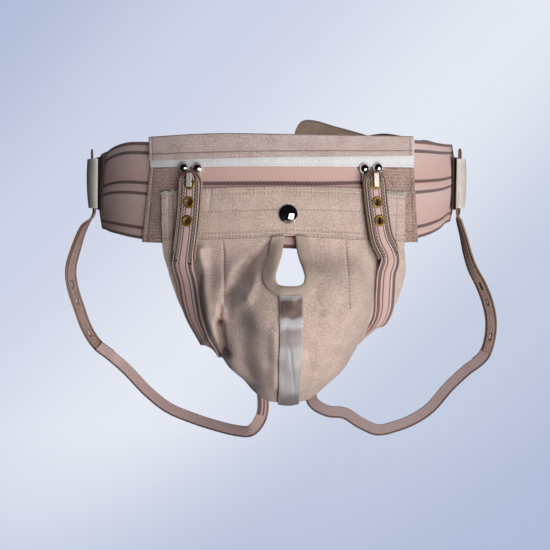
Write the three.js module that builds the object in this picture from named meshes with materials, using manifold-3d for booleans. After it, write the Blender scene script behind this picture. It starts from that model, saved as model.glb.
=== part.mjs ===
// Hernia belt: a wide elastic waist belt, a sewn cup pouch and two leg straps.
// Millimetres, +X to the right of a viewer in front, -Y towards that viewer, +Z up.
// The origin is the centre of the waist loop, at the height of the belt's middle.
import * as THREE from 'three';
import { mergeVertices } from 'three/addons/utils/BufferGeometryUtils.js';
import Module from 'manifold-3d';

const wasm = await Module();
wasm.setup();

// Waist loop, measured to the middle of the webbing
const waistWidth = 331;
const waistDepth = 224;
const beltWidth = 82;
const beltThickness = 2;
const beltLeftEnd = -201;
const beltRightEnd = 147;

// Gap between pieces that are sewn or riveted together, and under a piece that follows the folds
const clearance = 0.3;
const foldClearance = 0.9;

// Thickness of the flat pieces
const underlayThickness = 1.2;
const flapThickness = 1.6;
const bandThickness = 2.2;
const pouchThickness = 1.8;
const tapeThickness = 1.2;
const ribbonThickness = 1;
const leatherThickness = 1.6;
const strapThickness = 1.5;
const tabThickness = 2.2;

// Front panel: top flap, white facing, cloth patches and waistband
const panelTop = 46.5;
const facingTop = 44.5;
const facingBottom = 20.2;
const patchDrop = 42;
const bandHeight = 40;

// Pouch
const pouchCentre = 8.5;
const pouchHalfWidth = 100;
const pouchDrop = 141;
const pouchBulge = 40;
const pouchReach = 38;
const keyholeHeight = 37;
const keyholeWidth = 22;
const tapeWidth = 9.5;
const ribbonWidth = 17;

// Front straps with their eyelets, hooks and rivets
const leatherWidth = 20.8;
const frontStrapWidth = 18.8;
const strapStandOff = 6;
const leatherLength = 70;
const firstEyelet = 10.7;
const eyeletPitch = 15;
const eyeletCount = 3;
const eyeletRadius = 4.7;
const eyeletBore = 2.6;
const eyeletWall = 0.5;
const eyeletRise = 0.9;
const hookPlateWidth = 20;
const hookPlateHeight = 13;
const hookPlateThickness = 1;
const hookTongueWidth = 3.8;
const hookTongueThickness = 1;
const hookTongueLength = 11.5;
const rivetRadius = 3.6;
const rivetRise = 2.4;
const rivetSpacing = 11.2;
const rivetHeight = 12.7;
const snapRadius = 7.5;
const snapRise = 3.4;

// Leg straps and the sleeves that hold them
const legStrapWidth = 10.5;
const legStrapThickness = 1.8;
const legLeatherThickness = 2;
const legLeatherLength = 210;
const legLeatherLap = 14;
const legTipRise = 9;
const slotLength = 7;
const slotWidth = 2.4;
const slotStarts = [0.62, 0.7, 0.86];
const keeperTop = 29.5;
const keeperHeight = 44;
const keeperWall = 1.2;
const keeperBulge = 4.6;
const keeperBaseThickness = 1.5;

// Height of the webbing's edges round the loop, as shares of the belt's width,
// and how far both edges lean in from the middle
const beltEdges = [
  { angle: -201, top: 0.74, bottom: -0.25, lean: 0 },
  { angle: -180, top: 0.71, bottom: -0.28, lean: 0 },
  { angle: -150, top: 0.66, bottom: -0.32, lean: 0 },
  { angle: -120, top: 0.57, bottom: -0.38, lean: 0.01 },
  { angle: -95, top: 0.46, bottom: -0.41, lean: 0.03 },
  { angle: -71, top: 0.375, bottom: -0.41, lean: 0.03 },
  { angle: -63, top: 0.44, bottom: -0.43, lean: 0.02 },
  { angle: -56, top: 0.485, bottom: -0.445, lean: 0.01 },
  { angle: -48, top: 0.51, bottom: -0.47, lean: 0 },
  { angle: -36, top: 0.5, bottom: -0.5, lean: 0 },
  { angle: 0, top: 0.46, bottom: -0.545, lean: 0 },
  { angle: 12, top: 0.46, bottom: -0.56, lean: 0 },
  { angle: 36, top: 0.49, bottom: -0.49, lean: 0 },
  { angle: 47, top: 0.5, bottom: -0.472, lean: 0 },
  { angle: 60, top: 0.507, bottom: -0.404, lean: 0.03 },
  { angle: 70, top: 0.515, bottom: -0.34, lean: 0.05 },
  { angle: 95, top: 0.56, bottom: -0.33, lean: 0.03 },
  { angle: 117, top: 0.64, bottom: -0.31, lean: 0.01 },
  { angle: 131, top: 0.71, bottom: -0.27, lean: 0 },
  { angle: 138, top: 0.74, bottom: -0.25, lean: 0 },
  { angle: 147, top: 0.71, bottom: -0.25, lean: 0 },
];

// Edges of the top flap, as shares of the panel's top height
const flapLeft = -36.9;
const flapRight = 40.3;
const flapEdges = [
  { along: 0, top: 0.968, bottom: 0.555 },
  { along: 0.27, top: 1, bottom: 0.57 },
  { along: 0.53, top: 0.978, bottom: 0.596 },
  { along: 0.77, top: 0.972, bottom: 0.613 },
  { along: 1, top: 0.985, bottom: 0.643 },
];
const facingLeft = -38.7;
const facingRight = 43.1;

// Cloth patches: angles of the inner edge and of the outer edge, top and bottom
const patches = [
  { side: 'left', inner: -23.6, outerTop: -38.7, outerBottom: -42.6 },
  { side: 'right', inner: 31.2, outerTop: 43.1, outerBottom: 45.6 },
];

// Edges of the waistband, as shares of its height
const bandLeft = -34;
const bandRight = 39;
const bandEdges = [
  { along: 0, top: -0.01, bottom: -0.983 },
  { along: 0.08, top: 0.012, bottom: -0.965 },
  { along: 0.2, top: 0.07, bottom: -0.943 },
  { along: 0.45, top: 0.105, bottom: -0.885 },
  { along: 0.53, top: 0.105, bottom: -0.87 },
  { along: 0.79, top: 0.07, bottom: -0.955 },
  { along: 0.93, top: -0.008, bottom: -1 },
  { along: 1, top: -0.02, bottom: -1.013 },
];

// Level sections of the pouch, from its seam to its rear end: a round bulge between two flatter
// wings. mid, left and right are shares of the half width, out of the bulge's depth, dip and
// back of the reach, drop of the drop, and arc is half of the bulge's arc in degrees.
const pouchSections = [
  { at: 0, drop: 0, mid: 0.64, left: 1, right: 1, out: 0.08, dip: 0.12, back: 0.44, arc: 60 },
  { at: 0.08, drop: 0.105, mid: 0.66, left: 1, right: 1, out: 0.32, dip: 0.13, back: 0.51, arc: 64 },
  { at: 0.17, drop: 0.22, mid: 0.7, left: 0.985, right: 0.985, out: 0.62, dip: 0.21, back: 0.55, arc: 70 },
  { at: 0.26, drop: 0.33, mid: 0.72, left: 0.945, right: 0.955, out: 0.88, dip: 0.34, back: 0.6, arc: 76 },
  { at: 0.34, drop: 0.43, mid: 0.71, left: 0.9, right: 0.915, out: 1, dip: 0.43, back: 0.7, arc: 80 },
  { at: 0.42, drop: 0.53, mid: 0.675, left: 0.83, right: 0.85, out: 1.02, dip: 0.48, back: 0.84, arc: 82 },
  { at: 0.5, drop: 0.605, mid: 0.635, left: 0.765, right: 0.74, out: 0.98, dip: 0.55, back: 0.91, arc: 84 },
  { at: 0.57, drop: 0.675, mid: 0.59, left: 0.7, right: 0.63, out: 0.9, dip: 0.61, back: 0.945, arc: 84 },
  { at: 0.64, drop: 0.74, mid: 0.545, left: 0.575, right: 0.56, out: 0.79, dip: 0.68, back: 0.97, arc: 84 },
  { at: 0.71, drop: 0.81, mid: 0.49, left: 0.505, right: 0.505, out: 0.62, dip: 0.76, back: 0.97, arc: 84 },
  { at: 0.8, drop: 0.9, mid: 0.37, left: 0.385, right: 0.385, out: 0.3, dip: 0.87, back: 0.985, arc: 82 },
  { at: 0.9, drop: 0.995, mid: 0.24, left: 0.255, right: 0.255, out: -0.25, dip: 0.95, back: 1, arc: 76 },
  { at: 1, drop: 0.955, mid: 0.205, left: 0.225, right: 0.225, out: -0.92, dip: 1.0, back: 1.04, arc: 60 },
];
const wingShare = 0.28;

// Folds of the pouch: straight creases between two places, as shares of the half width and
// the drop, with their half width and depth as shares of the bulge (a ridge has a minus depth)
const pouchFolds = [
  { x0: -0.17, z0: 0.02, x1: -0.36, z1: 0.21, spread: 0.17, depth: 0.11 },
  { x0: -0.36, z0: 0.21, x1: -0.47, z1: 0.4, spread: 0.17, depth: 0.11 },
  { x0: -0.5, z0: 0.02, x1: -0.5, z1: 0.32, spread: 0.09, depth: 0.035 },
  { x0: -0.5, z0: 0.34, x1: -0.47, z1: 0.66, spread: 0.13, depth: 0.1 },
  { x0: -0.3, z0: 0.28, x1: -0.06, z1: 0.36, spread: 0.1, depth: 0.05 },
  { x0: -0.33, z0: 0.47, x1: -0.12, z1: 0.7, spread: 0.22, depth: 0.07 },
  { x0: 0.19, z0: 0.08, x1: 0.44, z1: 0.3, spread: 0.15, depth: -0.06 },
  { x0: 0.48, z0: 0.02, x1: 0.5, z1: 0.36, spread: 0.09, depth: 0.035 },
  { x0: 0.2, z0: 0.62, x1: 0.21, z1: 0.74, spread: 0.09, depth: 0.04 },
];

// Half of the keyhole's outline, as shares of its height and half width
const keyholeEdge = [
  { down: 0, half: 0.5 },
  { down: 0.22, half: 0.55 },
  { down: 0.44, half: 0.66 },
  { down: 0.62, half: 0.87 },
  { down: 0.77, half: 1 },
  { down: 0.9, half: 0.84 },
  { down: 0.98, half: 0.42 },
];

// Front straps: rows on the belt (height as a share of the waistband's height, lift as a share of
// the stand-off), rows on the pouch (x as a share of the half width) and rows at the pouch's rear
// edge (back as a share of the reach), where face and dip turn the strap's face outwards and down
const frontStraps = [
  {
    side: 'left',
    hand: -1,
    onBelt: [
      { angle: -23.7, height: 0.43, lift: 1 },
      { angle: -23.9, height: 0, lift: 1.03 },
      { angle: -24.3, height: -0.5, lift: 1.25 },
      { angle: -24.9, height: -0.93, lift: 1.45 },
    ],
    onPouch: [
      { x: 0.808, drop: 0.17, lift: 0.75 },
      { x: 0.816, drop: 0.28, lift: 0.3 },
      { x: 0.8, drop: 0.4, lift: 0.2 },
      { x: 0.765, drop: 0.5, lift: 0.3 },
      { x: 0.705, drop: 0.605, lift: 0.35 },
      { x: 0.662, drop: 0.68, lift: 0.48 },
    ],
    atEdge: [
      { x: 0.625, back: 1.06, drop: 0.74, face: 82, dip: 5 },
      { x: 0.53, back: 1.2, drop: 0.79, face: 94, dip: 10 },
      { x: 0.42, back: 1.3, drop: 0.84, face: 98, dip: 25 },
      { x: 0.3, back: 1.32, drop: 0.88, face: 98, dip: 40 },
    ],
  },
  {
    side: 'right',
    hand: 1,
    onBelt: [
      { angle: 27.2, height: 0.43, lift: 1 },
      { angle: 27.6, height: 0, lift: 1.03 },
      { angle: 28.4, height: -0.5, lift: 1.25 },
      { angle: 29.5, height: -0.93, lift: 1.45 },
    ],
    onPouch: [
      { x: 0.787, drop: 0.13, lift: 0.75 },
      { x: 0.807, drop: 0.23, lift: 0.4 },
      { x: 0.815, drop: 0.34, lift: 0.15 },
      { x: 0.81, drop: 0.46, lift: 0.15 },
      { x: 0.77, drop: 0.55, lift: 0.2 },
      { x: 0.69, drop: 0.635, lift: 0.3 },
    ],
    atEdge: [
      { x: 0.6, back: 1.06, drop: 0.72, face: 82, dip: 5 },
      { x: 0.53, back: 1.2, drop: 0.78, face: 94, dip: 10 },
      { x: 0.42, back: 1.3, drop: 0.84, face: 98, dip: 25 },
      { x: 0.3, back: 1.32, drop: 0.88, face: 98, dip: 40 },
    ],
  },
];

// Leg straps: free rows as shares of the way from the sleeve to the pouch's rear end,
// and the direction in degrees that the strap's face looks in, 0 to the front and 90 outwards
const legStraps = [
  {
    side: 'left',
    hand: -1,
    angle: -79.7,
    free: [
      { across: -0.063, forward: -0.01, down: 0.088, face: 70 },
      { across: -0.116, forward: -0.03, down: 0.218, face: 52 },
      { across: -0.153, forward: -0.07, down: 0.343, face: 36 },
      { across: -0.153, forward: -0.13, down: 0.446, face: 28 },
      { across: -0.124, forward: -0.23, down: 0.59, face: 20 },
      { across: -0.084, forward: -0.29, down: 0.728, face: 16 },
      { across: -0.026, forward: -0.31, down: 0.829, face: 14 },
      { across: 0.059, forward: -0.31, down: 0.9, face: 12 },
      { across: 0.163, forward: -0.29, down: 1, face: 10 },
      { across: 0.289, forward: -0.21, down: 1.13, face: 8 },
      { across: 0.417, forward: -0.07, down: 1.221, face: 6 },
      { across: 0.563, forward: 0.1, down: 1.27, face: 4 },
      { across: 0.702, forward: 0.32, down: 1.296, face: 0 },
      { across: 0.843, forward: 0.58, down: 1.307, face: 0 },
      { across: 0.927, forward: 0.77, down: 1.291, face: 0 },
      { across: 0.98, forward: 0.91, down: 1.221, face: 0 },
      { across: 1.004, forward: 0.99, down: 1.141, face: 0 },
    ],
  },
  {
    side: 'right',
    hand: 1,
    angle: 79.7,
    free: [
      { across: -0.006, forward: -0.01, down: 0.033, face: 80 },
      { across: -0.042, forward: -0.05, down: 0.132, face: 70 },
      { across: -0.076, forward: -0.09, down: 0.238, face: 60 },
      { across: -0.118, forward: -0.15, down: 0.333, face: 50 },
      { across: -0.188, forward: -0.21, down: 0.443, face: 38 },
      { across: -0.24, forward: -0.25, down: 0.552, face: 28 },
      { across: -0.27, forward: -0.29, down: 0.663, face: 22 },
      { across: -0.267, forward: -0.31, down: 0.78, face: 18 },
      { across: -0.229, forward: -0.31, down: 0.884, face: 14 },
      { across: -0.114, forward: -0.27, down: 0.972, face: 10 },
      { across: 0.015, forward: -0.19, down: 1.076, face: 8 },
      { across: 0.155, forward: -0.03, down: 1.204, face: 6 },
      { across: 0.279, forward: 0.12, down: 1.265, face: 4 },
      { across: 0.407, forward: 0.28, down: 1.297, face: 0 },
      { across: 0.532, forward: 0.44, down: 1.306, face: 0 },
      { across: 0.652, forward: 0.6, down: 1.252, face: 0 },
      { across: 0.77, forward: 0.77, down: 1.177, face: 0 },
      { across: 0.884, forward: 0.91, down: 1.154, face: 0 },
      { across: 0.983, forward: 1.01, down: 1.091, face: 0 },
    ],
  },
];

// Closure tab at the back, from its sewn end to its rounded tip: height as a share of the
// belt's width, half width as a share of the belt's width
const tabFrom = 136;
const tabTo = 173.5;
const tabOutline = [
  { along: 0, height: 0.3, half: 0.33 },
  { along: 0.3, height: 0.415, half: 0.335 },
  { along: 0.6, height: 0.525, half: 0.335 },
  { along: 0.8, height: 0.595, half: 0.34 },
  { along: 0.92, height: 0.615, half: 0.31 },
  { along: 0.98, height: 0.61, half: 0.21 },
  { along: 1, height: 0.6, half: 0.11 },
];

// Angles that the sleeves and the leather under them cover
const keeperFront = 72.4;
const keeperBack = 87;
const keeperBaseFront = 66.5;
const keeperBaseBack = 90;

// Offsets of the layers from the middle of the webbing
const beltFace = beltThickness / 2;
const underlayFrom = beltFace + clearance;
const layerFrom = underlayFrom + underlayThickness + clearance;
const bandFace = layerFrom + bandThickness;
const keeperBaseFrom = beltFace + clearance;
const keeperFrom = keeperBaseFrom + keeperBaseThickness + clearance;
const strapOver = leatherThickness + clearance;

const { clamp, degToRad, lerp, smoothstep } = THREE.MathUtils;

// Smooth reading of one column of a table, by its key column
function read(rows, key, name, at) {
  const last = rows.length - 1;
  const found = rows.findIndex((row) => row[key] > at);
  const i = found < 0 ? last - 1 : Math.max(found - 1, 0);
  const slope = (k) => {
    const low = rows[Math.max(k - 1, 0)];
    const high = rows[Math.min(k + 1, last)];
    return (high[name] - low[name]) / (high[key] - low[key]);
  };
  const step = rows[i + 1][key] - rows[i][key];
  const t = clamp((at - rows[i][key]) / step, 0, 1);
  const rest = 1 - t;
  const rise = rows[i][name] * (1 + 2 * t) * rest * rest;
  const fall = rows[i + 1][name] * (3 - 2 * t) * t * t;
  return rise + fall + step * t * rest * (slope(i) * rest - slope(i + 1) * t);
}

// Turns a geometry inside out if its faces point in
function faceOut(geometry) {
  const position = geometry.getAttribute('position');
  const index = geometry.getIndex().array;
  const corner = [new THREE.Vector3(), new THREE.Vector3(), new THREE.Vector3()];
  let volume = 0;
  for (let i = 0; i < index.length; i += 3) {
    corner.forEach((c, k) => c.fromBufferAttribute(position, index[i + k]));
    volume += corner[0].dot(corner[1].clone().cross(corner[2]));
  }
  if (volume < 0) {
    for (let i = 0; i < index.length; i += 3) {
      [index[i], index[i + 1]] = [index[i + 1], index[i]];
    }
  }
  return geometry;
}

// A closed sheet: place(u, v, face) gives the inner side at face 0 and the outer side at 1
function slab(columns, rows, place) {
  const positions = [];
  for (const face of [0, 1]) {
    for (let i = 0; i <= columns; i += 1) {
      for (let j = 0; j <= rows; j += 1) {
        positions.push(...place(i / columns, j / rows, face).toArray());
      }
    }
  }
  const at = (i, j, face) => (face * (columns + 1) + i) * (rows + 1) + j;
  const index = [];
  const quad = (a, b, c, d) => index.push(a, b, c, a, c, d);
  for (let i = 0; i < columns; i += 1) {
    for (let j = 0; j < rows; j += 1) {
      quad(at(i, j, 1), at(i + 1, j, 1), at(i + 1, j + 1, 1), at(i, j + 1, 1));
      quad(at(i, j, 0), at(i, j + 1, 0), at(i + 1, j + 1, 0), at(i + 1, j, 0));
    }
    quad(at(i, 0, 0), at(i + 1, 0, 0), at(i + 1, 0, 1), at(i, 0, 1));
    quad(at(i, rows, 0), at(i, rows, 1), at(i + 1, rows, 1), at(i + 1, rows, 0));
  }
  for (let j = 0; j < rows; j += 1) {
    quad(at(0, j, 0), at(0, j, 1), at(0, j + 1, 1), at(0, j + 1, 0));
    quad(at(columns, j, 0), at(columns, j + 1, 0), at(columns, j + 1, 1), at(columns, j, 1));
  }
  const geometry = new THREE.BufferGeometry();
  geometry.setAttribute('position', new THREE.Float32BufferAttribute(positions, 3));
  geometry.setIndex(index);
  return faceOut(geometry);
}

function toSolid(geometry) {
  const bare = geometry.clone();
  bare.deleteAttribute('normal');
  bare.deleteAttribute('uv');
  const merged = mergeVertices(bare, 1e-4);
  return new wasm.Manifold(new wasm.Mesh({
    numProp: 3,
    vertProperties: new Float32Array(merged.getAttribute('position').array),
    triVerts: new Uint32Array(merged.getIndex().array),
  }));
}

function fromSolid(solid) {
  const mesh = solid.getMesh();
  const geometry = new THREE.BufferGeometry();
  geometry.setAttribute('position', new THREE.Float32BufferAttribute(mesh.vertProperties, 3));
  geometry.setIndex(Array.from(mesh.triVerts));
  return geometry;
}

const cut = (geometry, tools) => fromSolid(
  tools.reduce((solid, tool) => solid.subtract(toSolid(tool)), toSolid(geometry)),
);
const join = (...pieces) => fromSolid(
  pieces.map(toSolid).reduce((solid, piece) => solid.add(piece)),
);

// Place on the belt's loop at an angle from the front, a height and an offset outwards
function beltNormal(angle) {
  const turn = degToRad(angle);
  return new THREE.Vector3(waistDepth * Math.sin(turn), -waistWidth * Math.cos(turn), 0).normalize();
}

function onBelt(angle, height, offset) {
  const turn = degToRad(angle);
  const middle = new THREE.Vector3(
    waistWidth / 2 * Math.sin(turn),
    -waistDepth / 2 * Math.cos(turn),
    height,
  );
  return middle.addScaledVector(beltNormal(angle), offset);
}

// Frame that stands on the belt: x along the loop, y up, z outwards
function beltFrame(angle, height, offset) {
  const out = beltNormal(angle);
  const up = new THREE.Vector3(0, 0, 1);
  const matrix = new THREE.Matrix4().makeBasis(up.clone().cross(out), up, out);
  return matrix.setPosition(onBelt(angle, height, offset));
}

// A flat layer that follows the belt between two angles
function beltLayer(from, to, edges, offset, thickness, columns, rows) {
  return slab(columns, rows, (u, v, face) => {
    const angle = lerp(from, to, u);
    const { top, bottom } = edges(u, angle);
    return onBelt(angle, lerp(bottom, top, v), offset + thickness * face);
  });
}

function waistBelt() {
  return slab(52, 4, (u, v, face) => {
    const angle = lerp(beltLeftEnd, beltRightEnd, u);
    const share = (name) => read(beltEdges, 'angle', name, angle);
    const height = lerp(share('bottom'), share('top'), v) * beltWidth;
    const lean = share('lean') * beltWidth * (2 * v - 1) ** 2;
    return onBelt(angle, height, beltThickness * (face - 0.5) - lean);
  });
}

function closureTab() {
  return slab(15, 2, (u, v, face) => {
    const middle = read(tabOutline, 'along', 'height', u) * beltWidth;
    const half = read(tabOutline, 'along', 'half', u) * beltWidth;
    const offset = beltFace + clearance + tabThickness * face;
    return onBelt(lerp(tabFrom, tabTo, u), middle + half * (2 * v - 1), offset);
  });
}

function patch({ inner, outerTop, outerBottom }) {
  const top = facingBottom - clearance;
  return slab(6, 2, (u, v, face) => {
    const outer = lerp(outerBottom, outerTop, v);
    const height = lerp(-patchDrop, top, v);
    return onBelt(lerp(inner, outer, u), height, underlayFrom + underlayThickness * face);
  });
}

function whiteFacing() {
  const edges = () => ({ top: facingTop, bottom: facingBottom });
  return beltLayer(facingLeft, facingRight, edges, underlayFrom, underlayThickness, 20, 1);
}

function topFlap() {
  const edges = (u) => ({
    top: read(flapEdges, 'along', 'top', u) * panelTop,
    bottom: read(flapEdges, 'along', 'bottom', u) * panelTop,
  });
  return beltLayer(flapLeft, flapRight, edges, layerFrom, flapThickness, 20, 1);
}

const bandEdge = (name, along) => read(bandEdges, 'along', name, along) * bandHeight;
const keyholeTop = bandEdge('bottom', 0.5) - clearance;

function waistband() {
  const edges = (u) => ({ top: bandEdge('top', u), bottom: bandEdge('bottom', u) });
  return beltLayer(bandLeft, bandRight, edges, layerFrom, bandThickness, 26, 1);
}

// Smooth outer face of the pouch, from -1 at its left edge to 1 at its right edge
function cup(across, down) {
  const share = (name) => read(pouchSections, 'at', name, down);
  const turn = degToRad(share('arc'));
  const bulge = share('mid') * pouchHalfWidth;
  const wing = share(across < 0 ? 'left' : 'right') * pouchHalfWidth;
  const front = -waistDepth / 2 - share('out') * pouchBulge;
  const valley = -waistDepth / 2 + share('dip') * pouchReach;
  const back = -waistDepth / 2 + share('back') * pouchReach;
  const inBulge = Math.min(Math.abs(across) / (1 - wingShare), 1) * turn;
  const inWing = Math.max(Math.abs(across) - 1 + wingShare, 0) / wingShare;
  const round = (Math.cos(inBulge) - Math.cos(turn)) / (1 - Math.cos(turn));
  const sideways = lerp(bulge * Math.sin(inBulge) / Math.sin(turn), wing, inWing);
  const along = (across + 1) / 2;
  const seamHeight = bandEdge('bottom', along) - clearance;
  const level = lerp(seamHeight, keyholeTop, smoothstep(down, 0, 0.4));
  const height = level - share('drop') * pouchDrop;
  const seam = onBelt(lerp(bandLeft, bandRight, along), height, layerFrom + pouchThickness);
  const body = new THREE.Vector3(
    pouchCentre + Math.sign(across) * sideways,
    lerp(lerp(valley, back, inWing), front, round),
    height,
  );
  return seam.lerp(body, smoothstep(down, 0.02, 0.16));
}

function normalOf(surface, across, down) {
  const step = 0.004;
  const low = clamp(down - step, 0, 1);
  const high = clamp(down + step, 0, 1);
  const sideways = surface(across + step, down).sub(surface(across - step, down));
  const downwards = surface(across, high).sub(surface(across, low));
  return downwards.cross(sideways).normalize();
}

// Depth of the folds at a place of the pouch
function foldDepth(point) {
  const x = (point.x - pouchCentre) / pouchHalfWidth;
  const z = (bandEdge('bottom', 0.5) - point.z) / pouchDrop;
  const place = new THREE.Vector3(x * pouchHalfWidth, z * pouchDrop, 0);
  const nearest = new THREE.Vector3();
  let depth = 0;
  for (const fold of pouchFolds) {
    const crease = new THREE.Line3(
      new THREE.Vector3(fold.x0 * pouchHalfWidth, fold.z0 * pouchDrop, 0),
      new THREE.Vector3(fold.x1 * pouchHalfWidth, fold.z1 * pouchDrop, 0),
    );
    crease.closestPointToPoint(place, true, nearest);
    const away = nearest.distanceTo(place) / (fold.spread * pouchBulge);
    depth += fold.depth * pouchBulge * Math.exp(-away * away);
  }
  return depth;
}

function foldedCup(across, down) {
  const point = cup(across, down);
  const fade = smoothstep(down, 0.04, 0.18);
  return point.addScaledVector(normalOf(cup, across, down), -foldDepth(point) * fade);
}

function onPouch(across, down, lift) {
  return foldedCup(across, down).addScaledVector(normalOf(foldedCup, across, down), lift);
}

// Share across the pouch at which its section has a given x
function acrossAt(x, down) {
  const turn = degToRad(read(pouchSections, 'at', 'arc', down));
  const bulge = read(pouchSections, 'at', 'mid', down) * pouchHalfWidth;
  const side = x < pouchCentre ? 'left' : 'right';
  const wing = read(pouchSections, 'at', side, down) * pouchHalfWidth;
  const away = Math.abs(x - pouchCentre);
  const round = Math.asin(clamp(away / bulge, 0, 1) * Math.sin(turn)) / turn * (1 - wingShare);
  const flat = clamp((away - bulge) / (wing - bulge), 0, 1) * wingShare;
  return Math.sign(x - pouchCentre) * (round + flat);
}

// Place on the pouch's front with a given x and height
function pouchSpot(x, height) {
  let low = 0;
  let high = 0.9;
  for (let i = 0; i < 24; i += 1) {
    const middle = (low + high) / 2;
    if (foldedCup(acrossAt(x, middle), middle).z > height) {
      low = middle;
    } else {
      high = middle;
    }
  }
  return { across: acrossAt(x, low), down: low };
}

// Outline of the keyhole from its top left, round its bottom, to its top right
const keyholeSide = (hand) => keyholeEdge.map(({ down, half }) => new THREE.Vector3(
  pouchCentre + hand * half * keyholeWidth / 2,
  0,
  keyholeTop - down * keyholeHeight,
));
const keyholeCurve = new THREE.CatmullRomCurve3([...keyholeSide(-1), ...keyholeSide(1).reverse()]);

function keyholeCutter() {
  const outline = new THREE.Shape();
  const above = clearance * 4;
  const points = keyholeCurve.getPoints(30);
  outline.moveTo(points[0].x, points[0].z + above);
  points.forEach((point) => outline.lineTo(point.x, point.z));
  outline.lineTo(points[points.length - 1].x, points[points.length - 1].z + above);
  const depth = 2 * pouchBulge + pouchReach;
  const cutter = new THREE.ExtrudeGeometry(outline, { depth, bevelEnabled: false });
  cutter.rotateX(Math.PI / 2);
  return cutter.translate(0, -waistDepth / 2 + pouchReach / 2, 0);
}

function pouch() {
  const shell = slab(28, 24, (u, v, face) => (
    onPouch(2 * u - 1, v, pouchThickness * (face - 1))
  ));
  return cut(shell, [keyholeCutter()]);
}

function keyholeTape() {
  return slab(22, 2, (u, v, face) => {
    const edge = keyholeCurve.getPointAt(u);
    const along = keyholeCurve.getTangentAt(u);
    const bottom = Math.abs(along.x);
    const reach = tapeWidth * (1 - 0.2 * bottom) * v;
    const x = edge.x + along.z * reach;
    const height = Math.min(edge.z - along.x * reach, keyholeTop);
    const spot = pouchSpot(x, height);
    return onPouch(spot.across, spot.down, foldClearance + tapeThickness * face);
  });
}

function centreRibbon() {
  const bottomOfTape = keyholeTop - keyholeHeight - 0.8 * tapeWidth - clearance;
  const start = pouchSpot(pouchCentre, bottomOfTape).down;
  return slab(3, 20, (u, v, face) => {
    const down = lerp(start, 1, v);
    const across = acrossAt(pouchCentre - 0.5 + (u - 0.5) * ribbonWidth, down);
    return onPouch(across, down, foldClearance + ribbonThickness * face);
  });
}

// Run of a strap through stations that each have a point and a direction its face looks in
function strapRun(stations) {
  const points = new THREE.CatmullRomCurve3(stations.map(({ point }) => point));
  const faces = new THREE.CatmullRomCurve3(stations.map(({ face }) => face));
  const length = points.getLength();
  return {
    length,
    at(distance) {
      const t = points.getUtoTmapping(clamp(distance / length, 0, 1));
      const along = points.getTangent(t);
      const side = along.clone().cross(faces.getPoint(t)).normalize();
      const out = side.clone().cross(along).normalize();
      return { point: points.getPoint(t), along, side, out };
    },
  };
}

// A strap along a run, with its width and offset at each distance
function strap(run, from, to, steps, width, offset, thickness) {
  return slab(steps, 1, (u, v, face) => {
    const distance = lerp(from, to, u);
    const { point, side, out } = run.at(distance);
    const move = width(distance) * (v - 0.5);
    return point.addScaledVector(side, move).addScaledVector(out, offset(distance) + thickness * face);
  });
}

// Width of a strap whose end is rounded off
function roundedEnd(width, fromEnd) {
  const radius = width / 2;
  const inside = clamp(radius - fromEnd, 0, radius * 0.93);
  return 2 * Math.sqrt(radius * radius - inside * inside);
}

// Direction turned outwards from the front by face degrees, and down by dip degrees
function facing(hand, face, dip = 0) {
  const turn = degToRad(face);
  const fall = degToRad(dip);
  const level = Math.cos(fall);
  return new THREE.Vector3(hand * Math.sin(turn) * level, -Math.cos(turn) * level, -Math.sin(fall));
}

function frontStrapRun({ hand, onBelt: beltRows, onPouch: pouchRows, atEdge }) {
  const upper = beltRows.map(({ angle, height, lift }) => ({
    point: onBelt(angle, height * bandHeight, lift * strapStandOff),
    face: beltNormal(angle),
  }));
  const middle = pouchRows.map(({ x, drop, lift }) => {
    const spot = pouchSpot(pouchCentre + hand * x * pouchHalfWidth, keyholeTop - drop * pouchDrop);
    const out = normalOf(cup, spot.across, spot.down);
    return {
      point: cup(spot.across, spot.down).addScaledVector(out, lift * strapStandOff),
      face: out,
    };
  });
  const lower = atEdge.map(({ x, back, drop, face, dip }) => ({
    point: new THREE.Vector3(
      pouchCentre + hand * x * pouchHalfWidth,
      -waistDepth / 2 + back * pouchReach,
      keyholeTop - drop * pouchDrop,
    ),
    face: facing(hand, face, dip),
  }));
  return strapRun([...upper, ...middle, ...lower]);
}

// A piece that stands on a strap's run at a distance: y along the strap, z outwards
function runFrame(run, distance, offset) {
  const { point, along, side, out } = run.at(distance);
  const matrix = new THREE.Matrix4().makeBasis(side.clone().negate(), along.clone().negate(), out);
  return matrix.setPosition(point.addScaledVector(out, offset));
}

const eyeletDistances = Array.from({ length: eyeletCount }, (_, i) => firstEyelet + i * eyeletPitch);

// Straight plugs through the strap where its eyelets go
function eyeletPlugs(run) {
  const height = 4 * (leatherThickness + strapThickness);
  return eyeletDistances.map((distance) => {
    const plug = new THREE.CylinderGeometry(
      eyeletBore + eyeletWall + clearance,
      eyeletBore + eyeletWall + clearance,
      height,
      12,
    );
    plug.rotateX(Math.PI / 2);
    return plug.applyMatrix4(runFrame(run, distance, 0));
  });
}

// The slab at a rounded end gets closer stations
function roundedStrap(run, from, to, steps, fullWidth, offset, thickness) {
  const near = fullWidth / 2;
  const nearSteps = 5;
  return slab(steps + nearSteps, 1, (u, v, face) => {
    const step = u * (steps + nearSteps);
    const early = near * (1 - Math.cos(Math.min(step / nearSteps, 1) * Math.PI / 2));
    const late = Math.max(step - nearSteps, 0) / steps;
    const distance = from + early + late * (to - from - near);
    const { point, side, out } = run.at(distance);
    const width = roundedEnd(fullWidth, distance - from);
    return point
      .addScaledVector(side, width * (v - 0.5))
      .addScaledVector(out, offset(distance) + thickness * face);
  });
}

function strapLeather(run) {
  const body = roundedStrap(run, 0, leatherLength, 11, leatherWidth, () => 0, leatherThickness);
  return cut(body, eyeletPlugs(run));
}

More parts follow.
